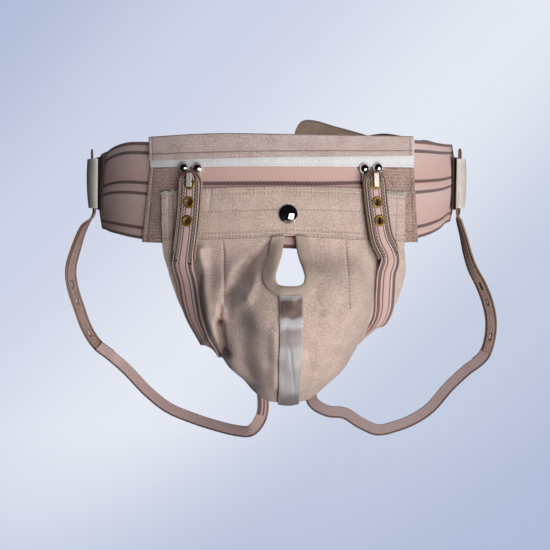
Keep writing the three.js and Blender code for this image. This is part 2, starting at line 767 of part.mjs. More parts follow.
function frontStrap(run) {
  const inset = (leatherWidth - frontStrapWidth) / 2;
  const settle = leatherLength + 17;
  const offset = (distance) => (
    strapOver * (1 - smoothstep(distance, leatherLength + 5, settle))
  );
  const body = roundedStrap(run, inset, run.length, 34, frontStrapWidth, offset, strapThickness);
  return cut(body, eyeletPlugs(run));
}

// Brass eyelet: a flange on the webbing and a barrel through the strap
function eyelet() {
  const barrel = eyeletBore + eyeletWall;
  const depth = strapOver + strapThickness;
  const profile = [
    [eyeletBore, -depth],
    [barrel, -depth],
    [barrel, clearance],
    [eyeletRadius, clearance],
    [eyeletRadius * 0.93, clearance + eyeletRise * 0.6],
    [eyeletRadius * 0.75, clearance + eyeletRise],
    [eyeletBore + eyeletWall / 2, clearance + eyeletRise * 0.8],
    [eyeletBore, clearance],
    [eyeletBore, -depth],
  ];
  const geometry = new THREE.LatheGeometry(profile.map(([x, y]) => new THREE.Vector2(x, y)), 12);
  return geometry.rotateX(Math.PI / 2);
}

// Chrome dome with a flat rim and a flat back
function dome(radius, rise, rim, sides) {
  const crown = radius * 0.86;
  const profile = [[0, 0], [radius, 0], [radius, rim], [crown, rim]];
  for (const turn of [30, 60]) {
    const angle = degToRad(turn);
    profile.push([crown * Math.cos(angle), rim + (rise - rim) * Math.sin(angle)]);
  }
  profile.push([0, rise]);
  const geometry = new THREE.LatheGeometry(profile.map(([x, y]) => new THREE.Vector2(x, y)), sides);
  return geometry.rotateX(Math.PI / 2);
}

// Chrome hook: a riveted plate and a tongue that comes out through the first eyelet
function hook() {
  const plateBottom = 2;
  const plate = new THREE.BoxGeometry(hookPlateWidth, hookPlateHeight, hookPlateThickness);
  plate.translate(0, plateBottom + hookPlateHeight / 2, hookPlateThickness / 2);
  const near = strapStandOff - layerFrom + strapOver + strapThickness + 2 * clearance + eyeletRise;
  const far = near + hookTongueThickness;
  const half = hookTongueThickness / 2;
  const outline = new THREE.Shape();
  outline.moveTo(-half, 0);
  outline.lineTo(plateBottom + 1, 0);
  outline.lineTo(plateBottom + 1, hookPlateThickness);
  outline.lineTo(half, hookPlateThickness);
  outline.lineTo(half, near);
  outline.lineTo(hookTongueLength - 1, near + 0.1);
  outline.lineTo(hookTongueLength, near + 0.6);
  outline.lineTo(hookTongueLength - 0.4, far + 0.2);
  outline.lineTo(half, far);
  outline.lineTo(-half, far - 0.3);
  const tongue = new THREE.ExtrudeGeometry(outline, { depth: hookTongueWidth, bevelEnabled: false });
  tongue.translate(0, 0, -hookTongueWidth / 2);
  const turned = new THREE.Matrix4().makeBasis(
    new THREE.Vector3(0, 1, 0),
    new THREE.Vector3(0, 0, 1),
    new THREE.Vector3(1, 0, 0),
  );
  return join(plate, tongue.applyMatrix4(turned));
}

// Leather sleeve on the side of the belt, hollow from top to bottom
function keeper(hand) {
  const wall = (inset, over) => slab(8, 2, (u, v, face) => {
    const edge = inset / keeperRadius();
    const angle = lerp(keeperFront + edge, keeperBack - edge, u);
    const height = keeperTop - keeperHeight * v + over * (1 - 2 * v);
    const round = Math.sqrt(Math.max(1 - (2 * u - 1) ** 2, 0));
    const belly = 1 - 0.25 * (2 * v - 1) ** 2;
    const out = keeperWall * 2 + 1 + keeperBulge * round * belly;
    const offset = face ? out - inset : inset;
    return onBelt(hand * angle, height, keeperFrom + offset);
  });
  return cut(wall(0, 0), [wall(keeperWall, 1)]);
}

// Length of the belt's side for one degree
function keeperRadius() {
  const middle = (keeperFront + keeperBack) / 2;
  return onBelt(middle + 0.5, 0, 0).distanceTo(onBelt(middle - 0.5, 0, 0));
}

function keeperBase(hand) {
  const edges = () => ({ top: keeperTop + 1.5, bottom: keeperTop - keeperHeight - 1.5 });
  const from = hand * keeperBaseFront;
  const to = hand * keeperBaseBack;
  return beltLayer(from, to, edges, keeperBaseFrom, keeperBaseThickness, 6, 1);
}

function legRun({ hand, angle, free }) {
  const inSleeve = keeperFrom + keeperWall + clearance;
  const levels = [legTipRise / keeperHeight, -0.4, -0.85, -1.12];
  const sleeve = levels.map((level) => keeperTop + level * keeperHeight);
  const upper = sleeve.map((height) => ({
    point: onBelt(angle, height, inSleeve + 0.4),
    face: beltNormal(angle),
  }));
  const start = upper[3].point;
  const endEdge = foldedCup(hand * 0.8, 1);
  const end = endEdge.clone().setY(foldedCup(1, 1).y + clearance + legStrapThickness);
  const lower = free.map(({ across, forward, down, face }) => ({
    point: new THREE.Vector3(
      lerp(start.x, end.x, across),
      lerp(start.y, end.y, forward),
      lerp(start.z, end.z, down),
    ),
    face: facing(hand, face),
  }));
  const front = facing(hand, 0);
  const last = { point: end.clone().setZ(end.z + 6), face: front };
  return strapRun([...upper, ...lower, { point: end, face: front }, last]);
}

function slotCutters(run) {
  return slotStarts.map((share) => {
    const slot = new THREE.BoxGeometry(slotWidth, slotLength, 4 * legLeatherThickness);
    return slot.applyMatrix4(runFrame(run, share * legLeatherLength, legLeatherThickness / 2));
  });
}

function legLeather(run) {
  const body = roundedStrap(run, 0, legLeatherLength, 24, legStrapWidth, () => 0, legLeatherThickness);
  return cut(body, slotCutters(run));
}

function legStrap(run) {
  const from = legLeatherLength - legLeatherLap;
  const offset = (distance) => {
    const settle = smoothstep(distance, legLeatherLength, legLeatherLength + 16);
    return -(2 * clearance + legStrapThickness) * (1 - settle);
  };
  return strap(run, from, run.length, 42, () => legStrapWidth, offset, legStrapThickness);
}

// Materials
const material = (color, roughness, metalness) => (
  new THREE.MeshStandardMaterial({ color, roughness, metalness })
);
const webbing = material(0xd9b3a8, 0.9, 0);
const twill = material(0xc7aea0, 0.95, 0);
const coarse = material(0x96816f, 1, 0);
const white = material(0xe4e2e0, 0.9, 0);
const brownLeather = material(0x5a3a2c, 0.6, 0);
const tanLeather = material(0xb29a86, 0.6, 0);
const paleLeather = material(0xcdc3ba, 0.6, 0);
const tape = material(0xae9b8c, 0.9, 0);
const satin = material(0xc4bbbb, 0.4, 0);
const chrome = material(0xd8dcdf, 0.15, 1);
const brass = material(0xa98a52, 0.3, 1);

const belt = new THREE.Group();

function add(name, geometry, finish, matrix) {
  const mesh = new THREE.Mesh(geometry, finish);
  mesh.name = name;
  if (matrix) {
    mesh.applyMatrix4(matrix);
  }
  belt.add(mesh);
}

add('waist_belt', waistBelt(), webbing);
add('closure_tab', closureTab(), tanLeather);
patches.forEach((row) => add(`patch_${row.side}`, patch(row), coarse));
add('white_facing', whiteFacing(), white);
add('top_flap', topFlap(), twill);
add('waistband', waistband(), twill);
add('pouch', pouch(), twill);
add('keyhole_tape', keyholeTape(), tape);
add('centre_ribbon', centreRibbon(), satin);

const snapAngle = 3.1;
const snapShare = -0.435;
const snapFrame = beltFrame(snapAngle, snapShare * bandHeight, bandFace + clearance);
add('snap_cap', dome(snapRadius, snapRise, 0.7, 20), chrome, snapFrame);

for (const row of frontStraps) {
  const run = frontStrapRun(row);
  add(`strap_leather_${row.side}`, strapLeather(run), brownLeather);
  add(`front_strap_${row.side}`, frontStrap(run), webbing);
  eyeletDistances.forEach((distance, i) => {
    const seat = runFrame(run, distance, strapOver + strapThickness);
    add(`eyelet_${row.side}_${i + 1}`, eyelet(), brass, seat);
  });
  const plateSeat = layerFrom - strapStandOff;
  add(`hook_${row.side}`, hook(), chrome, runFrame(run, firstEyelet, plateSeat));
  [-1, 1].forEach((hand, i) => {
    const seat = runFrame(run, firstEyelet, plateSeat + hookPlateThickness + clearance);
    const move = new THREE.Matrix4().makeTranslation(hand * rivetSpacing / 2, rivetHeight, 0);
    add(`rivet_${row.side}_${i + 1}`, dome(rivetRadius, rivetRise, 0.6, 12), chrome, seat.multiply(move));
  });
}

for (const row of legStraps) {
  const run = legRun(row);
  add(`keeper_base_${row.side}`, keeperBase(row.hand), brownLeather);
  add(`keeper_${row.side}`, keeper(row.hand), paleLeather);
  add(`leg_leather_${row.side}`, legLeather(run), brownLeather);
  add(`leg_strap_${row.side}`, legStrap(run), webbing);
}

export default belt;
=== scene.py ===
# %% [markdown]
# # A hernia belt in webbing, cloth, leather and metal
# The real thing is worn round the waist: a wide striped elastic belt, a sewn cloth cup that hangs
# from its front panel, two striped straps that hook on with eyelets, and two thin leg straps.
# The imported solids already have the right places, so this lesson repeats their curves at a fine
# step and spends its effort on cloth edges, folds, stitches and surfaces.

# %% Load the frame
import math
import random
from functools import lru_cache

import bmesh
import bpy
from mathutils import Matrix, Vector, noise


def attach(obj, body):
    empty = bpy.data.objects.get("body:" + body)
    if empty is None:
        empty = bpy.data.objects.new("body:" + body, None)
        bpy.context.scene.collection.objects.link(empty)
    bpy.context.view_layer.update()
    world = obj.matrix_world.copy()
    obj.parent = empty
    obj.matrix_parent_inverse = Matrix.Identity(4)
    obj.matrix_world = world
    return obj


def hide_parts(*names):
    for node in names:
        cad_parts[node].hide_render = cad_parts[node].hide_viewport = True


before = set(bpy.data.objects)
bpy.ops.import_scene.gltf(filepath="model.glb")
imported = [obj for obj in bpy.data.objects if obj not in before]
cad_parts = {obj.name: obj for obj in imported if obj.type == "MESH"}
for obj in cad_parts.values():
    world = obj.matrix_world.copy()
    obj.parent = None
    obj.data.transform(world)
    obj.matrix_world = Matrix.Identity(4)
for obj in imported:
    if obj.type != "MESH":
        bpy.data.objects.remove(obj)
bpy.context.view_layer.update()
MM = 0.001
print("CAD nodes:", len(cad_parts))

# %% [markdown]
# ## The camera
# The photo looks level at the middle of the belt from about 0.7 m and is tipped down a little, so
# the pouch sits below the middle of the square picture. The lens is a short telephoto.

# %% Camera
EYE_SIDE = -1.4
EYE_DISTANCE = 732
EYE_PITCH = 6.148
LENS = 50.44
SENSOR = 36

lens = bpy.data.cameras.new("camera")
lens.lens = LENS
lens.sensor_width = SENSOR
lens.clip_start = 0.01
camera = bpy.data.objects.new("camera", lens)
camera.location = Vector((EYE_SIDE, -EYE_DISTANCE, 0)) * MM
camera.rotation_euler = (math.radians(90 - EYE_PITCH), 0, 0)
bpy.context.scene.collection.objects.link(camera)
bpy.context.scene.camera = camera
bpy.context.scene.view_settings.view_transform = "Standard"
print("camera:", EYE_DISTANCE, "mm away, lens", LENS, "mm")

# %% [markdown]
# ## Named sizes
# Everything is worked out in millimetres from the same sizes as the solids and turned into metres
# when a mesh is made. The tables further on hold shares of these sizes, so a new size moves
# everything that hangs on it.

# %% Sizes
WAIST_WIDTH = 331
WAIST_DEPTH = 224
BELT_WIDTH = 82
BELT_THICKNESS = 2
CLEARANCE = 0.3
FOLD_CLEARANCE = 0.9
UNDERLAY_THICKNESS = 1.2
FLAP_THICKNESS = 1.6
BAND_THICKNESS = 2.2
POUCH_THICKNESS = 1.8
TAPE_THICKNESS = 1.2
RIBBON_THICKNESS = 1
LEATHER_THICKNESS = 1.6
STRAP_THICKNESS = 1.5
TAB_THICKNESS = 2.2
PANEL_TOP = 46.5
FACING_TOP = 44.5
FACING_BOTTOM = 20.2
PATCH_DROP = 42
BAND_HEIGHT = 40
POUCH_CENTRE = 8.5
POUCH_HALF_WIDTH = 100
POUCH_DROP = 141
POUCH_BULGE = 40
POUCH_REACH = 38
KEYHOLE_HEIGHT = 38.4
KEYHOLE_WIDTH = 24.5
KEYHOLE_SHIFT = 1.8
TAPE_WIDTH = 9.5
RIBBON_WIDTH = 17
LEATHER_WIDTH = 20.8
FRONT_STRAP_WIDTH = 18.8
STRAP_STAND_OFF = 6
LEATHER_LENGTH = 70
FIRST_EYELET = 10.7
EYELET_PITCH = 15
LEG_STRAP_WIDTH = 10.5
LEG_STRAP_THICKNESS = 1.8
LEG_LEATHER_THICKNESS = 2
LEG_LEATHER_LENGTH = 210
LEG_LEATHER_LAP = 14
LEG_TIP_RISE = 9
SLOT_LENGTH = 7
SLOT_WIDTH = 2.4
SLOT_STARTS = [0.62, 0.7, 0.86]
KEEPER_TOP = 29.5
KEEPER_HEIGHT = 44
KEEPER_WALL = 1.2
KEEPER_BULGE = 4.6
KEEPER_BASE_THICKNESS = 1.5

BELT_FACE = BELT_THICKNESS / 2
UNDERLAY_FROM = BELT_FACE + CLEARANCE
LAYER_FROM = UNDERLAY_FROM + UNDERLAY_THICKNESS + CLEARANCE
BAND_FACE = LAYER_FROM + BAND_THICKNESS
STRAP_OVER = LEATHER_THICKNESS + CLEARANCE
KEEPER_FROM = BELT_FACE + 2 * CLEARANCE + KEEPER_BASE_THICKNESS
print("outer face of the waistband:", round(BAND_FACE, 2), "mm off the loop")

# %% [markdown]
# ## Reading a table smoothly
# A short table with named columns is easier to follow than a long list of points. Between its rows
# the values follow a smooth curve whose slope comes from the neighbouring rows.

# %% Tables
def table(columns, *rows):
    """Rows of numbers as dictionaries with named columns."""
    return [dict(zip(columns.split(), row)) for row in rows]


def clamp(value, low=0.0, high=1.0):
    return max(low, min(high, value))


def lerp(a, b, share):
    return a + (b - a) * share


def smoothstep(value, low, high):
    share = clamp((value - low) / (high - low))
    return share * share * (3 - 2 * share)


def read(rows, key, name, at):
    """Smooth value of one column where the key column has a given value."""
    last = len(rows) - 1
    i = 0
    while i < last - 1 and rows[i + 1][key] <= at:
        i += 1

    def slope(k):
        low = rows[max(k - 1, 0)]
        high = rows[min(k + 1, last)]
        return (high[name] - low[name]) / (high[key] - low[key])

    step = rows[i + 1][key] - rows[i][key]
    t = clamp((at - rows[i][key]) / step)
    rest = 1 - t
    rise = rows[i][name] * (1 + 2 * t) * rest * rest
    fall = rows[i + 1][name] * (3 - 2 * t) * t * t
    return rise + fall + step * t * rest * (slope(i) * rest - slope(i + 1) * t)


# %% [markdown]
# ## The belt's loop
# A webbing belt round a waist follows an oval. Every flat layer of the front panel is placed on it
# by an angle from the front, a height and an offset outwards.

# %% Places on the loop
def loop_normal(angle):
    turn = math.radians(angle)
    return Vector((WAIST_DEPTH * math.sin(turn), -WAIST_WIDTH * math.cos(turn), 0)).normalized()


def on_belt(angle, height, offset):
    turn = math.radians(angle)
    middle = Vector((WAIST_WIDTH / 2 * math.sin(turn), -WAIST_DEPTH / 2 * math.cos(turn), height))
    return middle + loop_normal(angle) * offset


def loop_length(start, end, steps=48):
    """Length of the loop between two angles, in millimetres."""
    spots = [on_belt(lerp(start, end, i / steps), 0, 0) for i in range(steps + 1)]
    return sum((b - a).length for a, b in zip(spots, spots[1:]))


BAND_LEFT = -34
BAND_RIGHT = 39
BAND_EDGES = table(
    "along top bottom",
    (0, -0.01, -0.983),
    (0.08, 0.012, -0.965),
    (0.2, 0.07, -0.943),
    (0.45, 0.105, -0.885),
    (0.53, 0.105, -0.87),
    (0.79, 0.07, -0.955),
    (0.93, -0.008, -1),
    (1, -0.02, -1.013),
)


@lru_cache(maxsize=None)
def band_edge(name, along):
    return read(BAND_EDGES, "along", name, along) * BAND_HEIGHT


KEYHOLE_TOP = band_edge("bottom", 0.5) - CLEARANCE
print("waist loop:", round(loop_length(-180, 180, 200)), "mm")

# %% [markdown]
# ## The cup's surface
# The pouch is a round bulge between two flatter wings. One table row describes one section from
# side to side, and the rows follow each other down. Sculpting could give such a shape too, but
# rows of numbers are easy to set against the photo.

# %% Places on the pouch
POUCH_SECTIONS = table(
    "at drop mid left right out dip back arc",
    (0, 0, 0.64, 1, 1, 0.08, 0.12, 0.44, 60),
    (0.08, 0.105, 0.66, 1, 1, 0.32, 0.13, 0.51, 64),
    (0.17, 0.22, 0.7, 0.985, 0.985, 0.62, 0.21, 0.55, 70),
    (0.26, 0.33, 0.72, 0.945, 0.955, 0.88, 0.34, 0.6, 76),
    (0.34, 0.43, 0.71, 0.9, 0.915, 1, 0.43, 0.7, 80),
    (0.42, 0.53, 0.675, 0.83, 0.85, 1.02, 0.48, 0.84, 82),
    (0.5, 0.605, 0.635, 0.765, 0.74, 0.98, 0.55, 0.91, 84),
    (0.57, 0.675, 0.59, 0.7, 0.63, 0.9, 0.61, 0.945, 84),
    (0.64, 0.74, 0.545, 0.575, 0.56, 0.79, 0.68, 0.97, 84),
    (0.71, 0.81, 0.49, 0.505, 0.505, 0.62, 0.76, 0.97, 84),
    (0.8, 0.9, 0.37, 0.385, 0.385, 0.3, 0.87, 0.985, 82),
    (0.9, 0.995, 0.24, 0.255, 0.255, -0.25, 0.95, 1, 76),
    (1, 0.955, 0.205, 0.225, 0.225, -0.92, 1.0, 1.04, 60),
)
WING_SHARE = 0.28


@lru_cache(maxsize=None)
def section(name, down):
    return read(POUCH_SECTIONS, "at", name, down)


def cup(across, down):
    """Smooth outer face, from -1 at the left edge to 1 at the right edge."""
    def share(name):
        return section(name, down)

    turn = math.radians(share("arc"))
    bulge = share("mid") * POUCH_HALF_WIDTH
    wing = share("left" if across < 0 else "right") * POUCH_HALF_WIDTH
    front = -WAIST_DEPTH / 2 - share("out") * POUCH_BULGE
    valley = -WAIST_DEPTH / 2 + share("dip") * POUCH_REACH
    back = -WAIST_DEPTH / 2 + share("back") * POUCH_REACH
    in_bulge = min(abs(across) / (1 - WING_SHARE), 1) * turn
    in_wing = max(abs(across) - 1 + WING_SHARE, 0) / WING_SHARE
    fullness = (math.cos(in_bulge) - math.cos(turn)) / (1 - math.cos(turn))
    sideways = lerp(bulge * math.sin(in_bulge) / math.sin(turn), wing, in_wing)
    along = (across + 1) / 2
    seam_height = band_edge("bottom", along) - CLEARANCE
    level = lerp(seam_height, KEYHOLE_TOP, smoothstep(down, 0, 0.4))
    height = level - share("drop") * POUCH_DROP
    seam = on_belt(lerp(BAND_LEFT, BAND_RIGHT, along), height, LAYER_FROM + POUCH_THICKNESS)
    body = Vector((
        POUCH_CENTRE + math.copysign(sideways, across),
        lerp(lerp(valley, back, in_wing), front, fullness),
        height,
    ))
    return seam.lerp(body, smoothstep(down, 0.02, 0.16))


def normal_of(surface, across, down):
    step = 0.004
    low = clamp(down - step)
    high = clamp(down + step)
    sideways = surface(across + step, down) - surface(across - step, down)
    downwards = surface(across, high) - surface(across, low)
    return downwards.cross(sideways).normalized()


print("lowest place of the cup:", round(cup(0, 1).z), "mm")

# %% [markdown]
# ## Creases
# A crease is a straight line on the front of the pouch. It pushes the cloth in, or out where the
# depth is negative, by an amount that falls off softly to both sides and fades near the seam.

# %% Creases
POUCH_FOLDS = table(
    "x0 z0 x1 z1 spread depth",
    (-0.17, 0.02, -0.36, 0.21, 0.17, 0.11),
    (-0.36, 0.21, -0.47, 0.4, 0.17, 0.11),
    (-0.5, 0.02, -0.5, 0.32, 0.09, 0.035),
    (-0.5, 0.34, -0.47, 0.66, 0.13, 0.1),
    (-0.3, 0.28, -0.06, 0.36, 0.1, 0.05),
    (-0.33, 0.47, -0.12, 0.7, 0.22, 0.07),
    (0.19, 0.08, 0.44, 0.3, 0.15, -0.06),
    (0.48, 0.02, 0.5, 0.36, 0.09, 0.035),
    (0.2, 0.62, 0.21, 0.74, 0.09, 0.04),
)


def crease_depth(folds, point):
    """How far the creases push the cloth in at a place, in millimetres."""
    x = point.x - POUCH_CENTRE
    z = band_edge("bottom", 0.5) - point.z
    depth = 0
    for fold in folds:
        ax = fold["x0"] * POUCH_HALF_WIDTH
        az = fold["z0"] * POUCH_DROP
        bx = fold["x1"] * POUCH_HALF_WIDTH - ax
        bz = fold["z1"] * POUCH_DROP - az
        t = clamp(((x - ax) * bx + (z - az) * bz) / (bx * bx + bz * bz))
        away = math.hypot(x - ax - t * bx, z - az - t * bz) / (fold["spread"] * POUCH_BULGE)
        depth += fold["depth"] * POUCH_BULGE * math.exp(-away * away)
    return depth


def folded_cup(across, down):
    point = cup(across, down)
    fade = smoothstep(down, 0.04, 0.18)
    return point - normal_of(cup, across, down) * crease_depth(POUCH_FOLDS, point) * fade


print("broad creases:", len(POUCH_FOLDS))

# %% [markdown]
# ## Finding a place on the pouch
# Straps and stitches are known by where they lie in the photo, not by shares of the cloth. The
# share across follows from the section's own formula, and the share down is found by halving.

# %% Finding a place on the pouch
HALVINGS = 20
LOWEST_SHARE = 0.9


def across_at(x, down):
    """Share across the pouch at which its section has a given x."""
    turn = math.radians(section("arc", down))
    bulge = section("mid", down) * POUCH_HALF_WIDTH
    side = "left" if x < POUCH_CENTRE else "right"
    wing = section(side, down) * POUCH_HALF_WIDTH
    away = abs(x - POUCH_CENTRE)
    inner = math.asin(clamp(away / bulge) * math.sin(turn)) / turn * (1 - WING_SHARE)
    outer = clamp((away - bulge) / (wing - bulge)) * WING_SHARE
    return math.copysign(inner + outer, x - POUCH_CENTRE)


def pouch_spot(x, height):
    """Shares across and down at which the pouch's front has a given x and height."""
    low = 0
    high = LOWEST_SHARE
    for _ in range(HALVINGS):
        middle = (low + high) / 2
        if folded_cup(across_at(x, middle), middle).z > height:
            low = middle
        else:
            high = middle
    return across_at(x, low), low


print("share down at half the drop:", round(pouch_spot(POUCH_CENTRE, KEYHOLE_TOP - POUCH_DROP / 2)[1], 2))

# %% [markdown]
# ## A smooth curve
# A strap bends without kinks, so its line is a curve that goes through every given point. The
# centripetal kind doesn't overshoot between points that lie unevenly. It is read by its length, so
# that eyelets and stitches can be spaced in millimetres.

# %% A smooth curve
class Curve:
    """A centripetal Catmull-Rom curve through points, read by its length."""

    steps = 200

    def __init__(self, points):
        self.points = points
        self.lengths = [0.0]
        last = self.at(0)
        for i in range(1, self.steps + 1):
            here = self.at(i / self.steps)
            self.lengths.append(self.lengths[-1] + (here - last).length)
            last = here
        self.length = self.lengths[-1]

    def at(self, t):
        count = len(self.points)
        place = clamp(t) * (count - 1)
        i = min(int(place), count - 2)
        weight = place - i
        p1 = self.points[i]
        p2 = self.points[i + 1]
        p0 = self.points[i - 1] if i > 0 else p1 * 2 - p2
        p3 = self.points[i + 2] if i + 2 < count else p2 * 2 - p1
        d1 = (p2 - p1).length ** 0.5
        d1 = d1 if d1 > 1e-4 else 1.0
        d0 = (p1 - p0).length ** 0.5
        d0 = d0 if d0 > 1e-4 else d1
        d2 = (p3 - p2).length ** 0.5
        d2 = d2 if d2 > 1e-4 else d1
        t1 = ((p1 - p0) / d0 - (p2 - p0) / (d0 + d1) + (p2 - p1) / d1) * d1
        t2 = ((p2 - p1) / d1 - (p3 - p1) / (d1 + d2) + (p3 - p2) / d2) * d1
        w2 = weight * weight
        w3 = w2 * weight
        return p1 + t1 * weight + ((p2 - p1) * 3 - t1 * 2 - t2) * w2 + ((p1 - p2) * 2 + t1 + t2) * w3

    def share_at(self, distance):
        """Curve parameter at a distance along the curve."""
        target = clamp(distance / self.length) * self.length
        i = 0
        high = self.steps
        while high - i > 1:
            middle = (i + high) // 2
            if self.lengths[middle] <= target:
                i = middle
            else:
                high = middle
        span = self.lengths[i + 1] - self.lengths[i]
        return (i + (target - self.lengths[i]) / span) / self.steps


# %% [markdown]
# ## Runs of strap
# A strap is laid along stations, each with a place and the way that its face looks. One smooth
# curve goes through the places and one through the face directions, so the strap can twist.

# %% Strap runs
class Run:
    """The run of a strap: its place, the way along it, across it and out of it."""

    def __init__(self, stations):
        self.path = Curve([point for point, _ in stations])
        self.faces = Curve([face for _, face in stations])
        self.length = self.path.length

    def at(self, distance):
        t = self.path.share_at(distance)
        along = (self.path.at(t + 1e-4) - self.path.at(t - 1e-4)).normalized()
        side = along.cross(self.faces.at(t)).normalized()
        out = side.cross(along).normalized()
        return self.path.at(t), along, side, out

    def frame(self, distance, offset):
        """Matrix of a piece that stands on the run: y up the strap, z outwards, millimetres."""
        point, along, side, out = self.at(distance)
        place = point + out * offset
        turned = Matrix((-side, -along, out)).transposed().to_4x4()
        return Matrix.Translation(place) @ turned


def face_direction(hand, face, dip=0):
    """The way a strap faces: turned from the front by one angle and dipped by another."""
    turn = math.radians(face)
    fall = math.radians(dip)
    level = math.cos(fall)
    return Vector((hand * math.sin(turn) * level, -math.cos(turn) * level, -math.sin(fall)))


# %% [markdown]
# ## Where the front straps run
# A front strap hooks on at the belt, lies on the waistband and the pouch, and then bends round the
# pouch's edge to its back. Its stations come in three tables, one for each of these stretches.

# %% Runs of the front straps
FRONT_STRAPS = [
    {
        "side": "left",
        "hand": -1,
        "on_belt": table(
            "angle height lift",
            (-23.7, 0.43, 1), (-23.9, 0, 1.03), (-24.3, -0.5, 1.25), (-24.9, -0.93, 1.45),
        ),
        "on_pouch": table(
            "x drop lift",
            (0.808, 0.17, 0.75), (0.816, 0.28, 0.3), (0.8, 0.4, 0.2), (0.765, 0.5, 0.3),
            (0.705, 0.605, 0.3), (0.655, 0.66, 0.4),
        ),
        "at_edge": table(
            "x back drop face dip",
            (0.58, 1.06, 0.705, 80, 5), (0.47, 1.2, 0.74, 90, 10), (0.35, 1.3, 0.775, 95, 15),
            (0.24, 1.34, 0.8, 98, 20),
        ),
    },
    {
        "side": "right",
        "hand": 1,
        "on_belt": table(
            "angle height lift",
            (27.2, 0.43, 1), (27.6, 0, 1.03), (28.4, -0.5, 1.25), (29.5, -0.93, 1.45),
        ),
        "on_pouch": table(
            "x drop lift",
            (0.787, 0.13, 0.75), (0.807, 0.23, 0.4), (0.815, 0.34, 0.15), (0.81, 0.46, 0.15),
            (0.76, 0.545, 0.1),
        ),
        "at_edge": table(
            "x back drop face dip",
            (0.64, 0.98, 0.61, 75, 5), (0.52, 1.14, 0.66, 88, 10), (0.38, 1.28, 0.71, 95, 15),
            (0.26, 1.34, 0.76, 98, 20),
        ),
    },
]


def front_strap_run(row):
    stations = []
    for spot in row["on_belt"]:
        point = on_belt(spot["angle"], spot["height"] * BAND_HEIGHT, spot["lift"] * STRAP_STAND_OFF)
        stations.append((point, loop_normal(spot["angle"])))
    for spot in row["on_pouch"]:
        x = POUCH_CENTRE + row["hand"] * spot["x"] * POUCH_HALF_WIDTH
        across, down = pouch_spot(x, KEYHOLE_TOP - spot["drop"] * POUCH_DROP)
        out = normal_of(cup, across, down)
        stations.append((cup(across, down) + out * spot["lift"] * STRAP_STAND_OFF, out))
    for spot in row["at_edge"]:
        point = Vector((
            POUCH_CENTRE + row["hand"] * spot["x"] * POUCH_HALF_WIDTH,
            -WAIST_DEPTH / 2 + spot["back"] * POUCH_REACH,
            KEYHOLE_TOP - spot["drop"] * POUCH_DROP,
        ))
        stations.append((point, face_direction(row["hand"], spot["face"], spot["dip"])))
    return Run(stations)


front_runs = {row["side"]: front_strap_run(row) for row in FRONT_STRAPS}
print("front straps:", [round(run.length) for run in front_runs.values()], "mm")

# %% [markdown]
# ## Where the leg straps run
# A leg strap starts in a sleeve at the side of the belt, hangs down in a free curve and comes up to
# the lowest part of the pouch. Its stations are shares of the way between those two ends.

# %% Runs of the leg straps
LEG_STRAPS = [
    {
        "side": "left",
        "hand": -1,
        "angle": -78.3,
        "free": table(
            "across forward down face",
            (-0.063, -0.01, 0.088, 70), (-0.116, -0.03, 0.218, 52), (-0.153, -0.07, 0.343, 36),
            (-0.153, -0.13, 0.446, 28), (-0.124, -0.23, 0.59, 20), (-0.084, -0.29, 0.728, 16),
            (-0.026, -0.31, 0.829, 14), (0.059, -0.31, 0.9, 12), (0.163, -0.29, 1, 10),
            (0.289, -0.21, 1.13, 8), (0.417, -0.07, 1.221, 6), (0.563, 0.1, 1.27, 4),
            (0.702, 0.32, 1.296, 0), (0.843, 0.58, 1.307, 0), (0.927, 0.77, 1.291, 0),
            (0.98, 0.91, 1.221, 0), (1.004, 0.99, 1.141, 0),
        ),
    },
    {
        "side": "right",
        "hand": 1,
        "angle": 74,
        "free": table(
            "across forward down face",
            (-0.006, -0.01, 0.033, 80), (-0.042, -0.05, 0.132, 70), (-0.076, -0.09, 0.238, 60),
            (-0.118, -0.15, 0.333, 50), (-0.188, -0.21, 0.443, 38), (-0.24, -0.25, 0.552, 28),
            (-0.27, -0.29, 0.663, 22), (-0.267, -0.31, 0.78, 18), (-0.229, -0.31, 0.884, 14),
            (-0.114, -0.27, 0.972, 10), (0.015, -0.19, 1.076, 8), (0.155, -0.03, 1.204, 6),
            (0.279, 0.12, 1.265, 4), (0.407, 0.28, 1.297, 0), (0.532, 0.44, 1.306, 0),
            (0.652, 0.6, 1.252, 0), (0.77, 0.77, 1.177, 0), (0.884, 0.91, 1.154, 0),
            (0.983, 1.01, 1.091, 0),
        ),
    },
]
SLEEVE_LEVELS = [LEG_TIP_RISE / KEEPER_HEIGHT, -0.4, -0.85, -1.12]


def leg_run(row):
    hand = row["hand"]
    in_sleeve = KEEPER_FROM + KEEPER_WALL + CLEARANCE + 0.4
    stations = [
        (on_belt(row["angle"], KEEPER_TOP + level * KEEPER_HEIGHT, in_sleeve), loop_normal(row["angle"]))
        for level in SLEEVE_LEVELS
    ]
    start = stations[-1][0]
    end = folded_cup(hand * 0.8, 1)
    end.y = folded_cup(1, 1).y + CLEARANCE + LEG_STRAP_THICKNESS
    for spot in row["free"]:
        point = Vector((
            lerp(start.x, end.x, spot["across"]),
            lerp(start.y, end.y, spot["forward"]),
            lerp(start.z, end.z, spot["down"]),
        ))
        stations.append((point, face_direction(hand, 180 - spot["face"])))
    stations.append((end, face_direction(hand, 180)))
    stations.append((end + Vector((0, 0, 6)), face_direction(hand, 180)))
    return Run(stations)


leg_runs = {row["side"]: leg_run(row) for row in LEG_STRAPS}
print("leg straps:", [round(run.length) for run in leg_runs.values()], "mm")

# %% [markdown]
# ## Node helpers
# A material is a small graph. These helpers add one node, set its inputs or link them, and give
# back its output, so that a finish reads from top to bottom like a recipe.

# %% Node helpers
def srgb(red, green, blue):
    """A picture colour from 0 to 255 as the linear colour that a shader works in."""
    def linear(value):
        value /= 255
        return value / 12.92 if value <= 0.04045 else ((value + 0.055) / 1.055) ** 2.4
    return (linear(red), linear(green), linear(blue), 1.0)


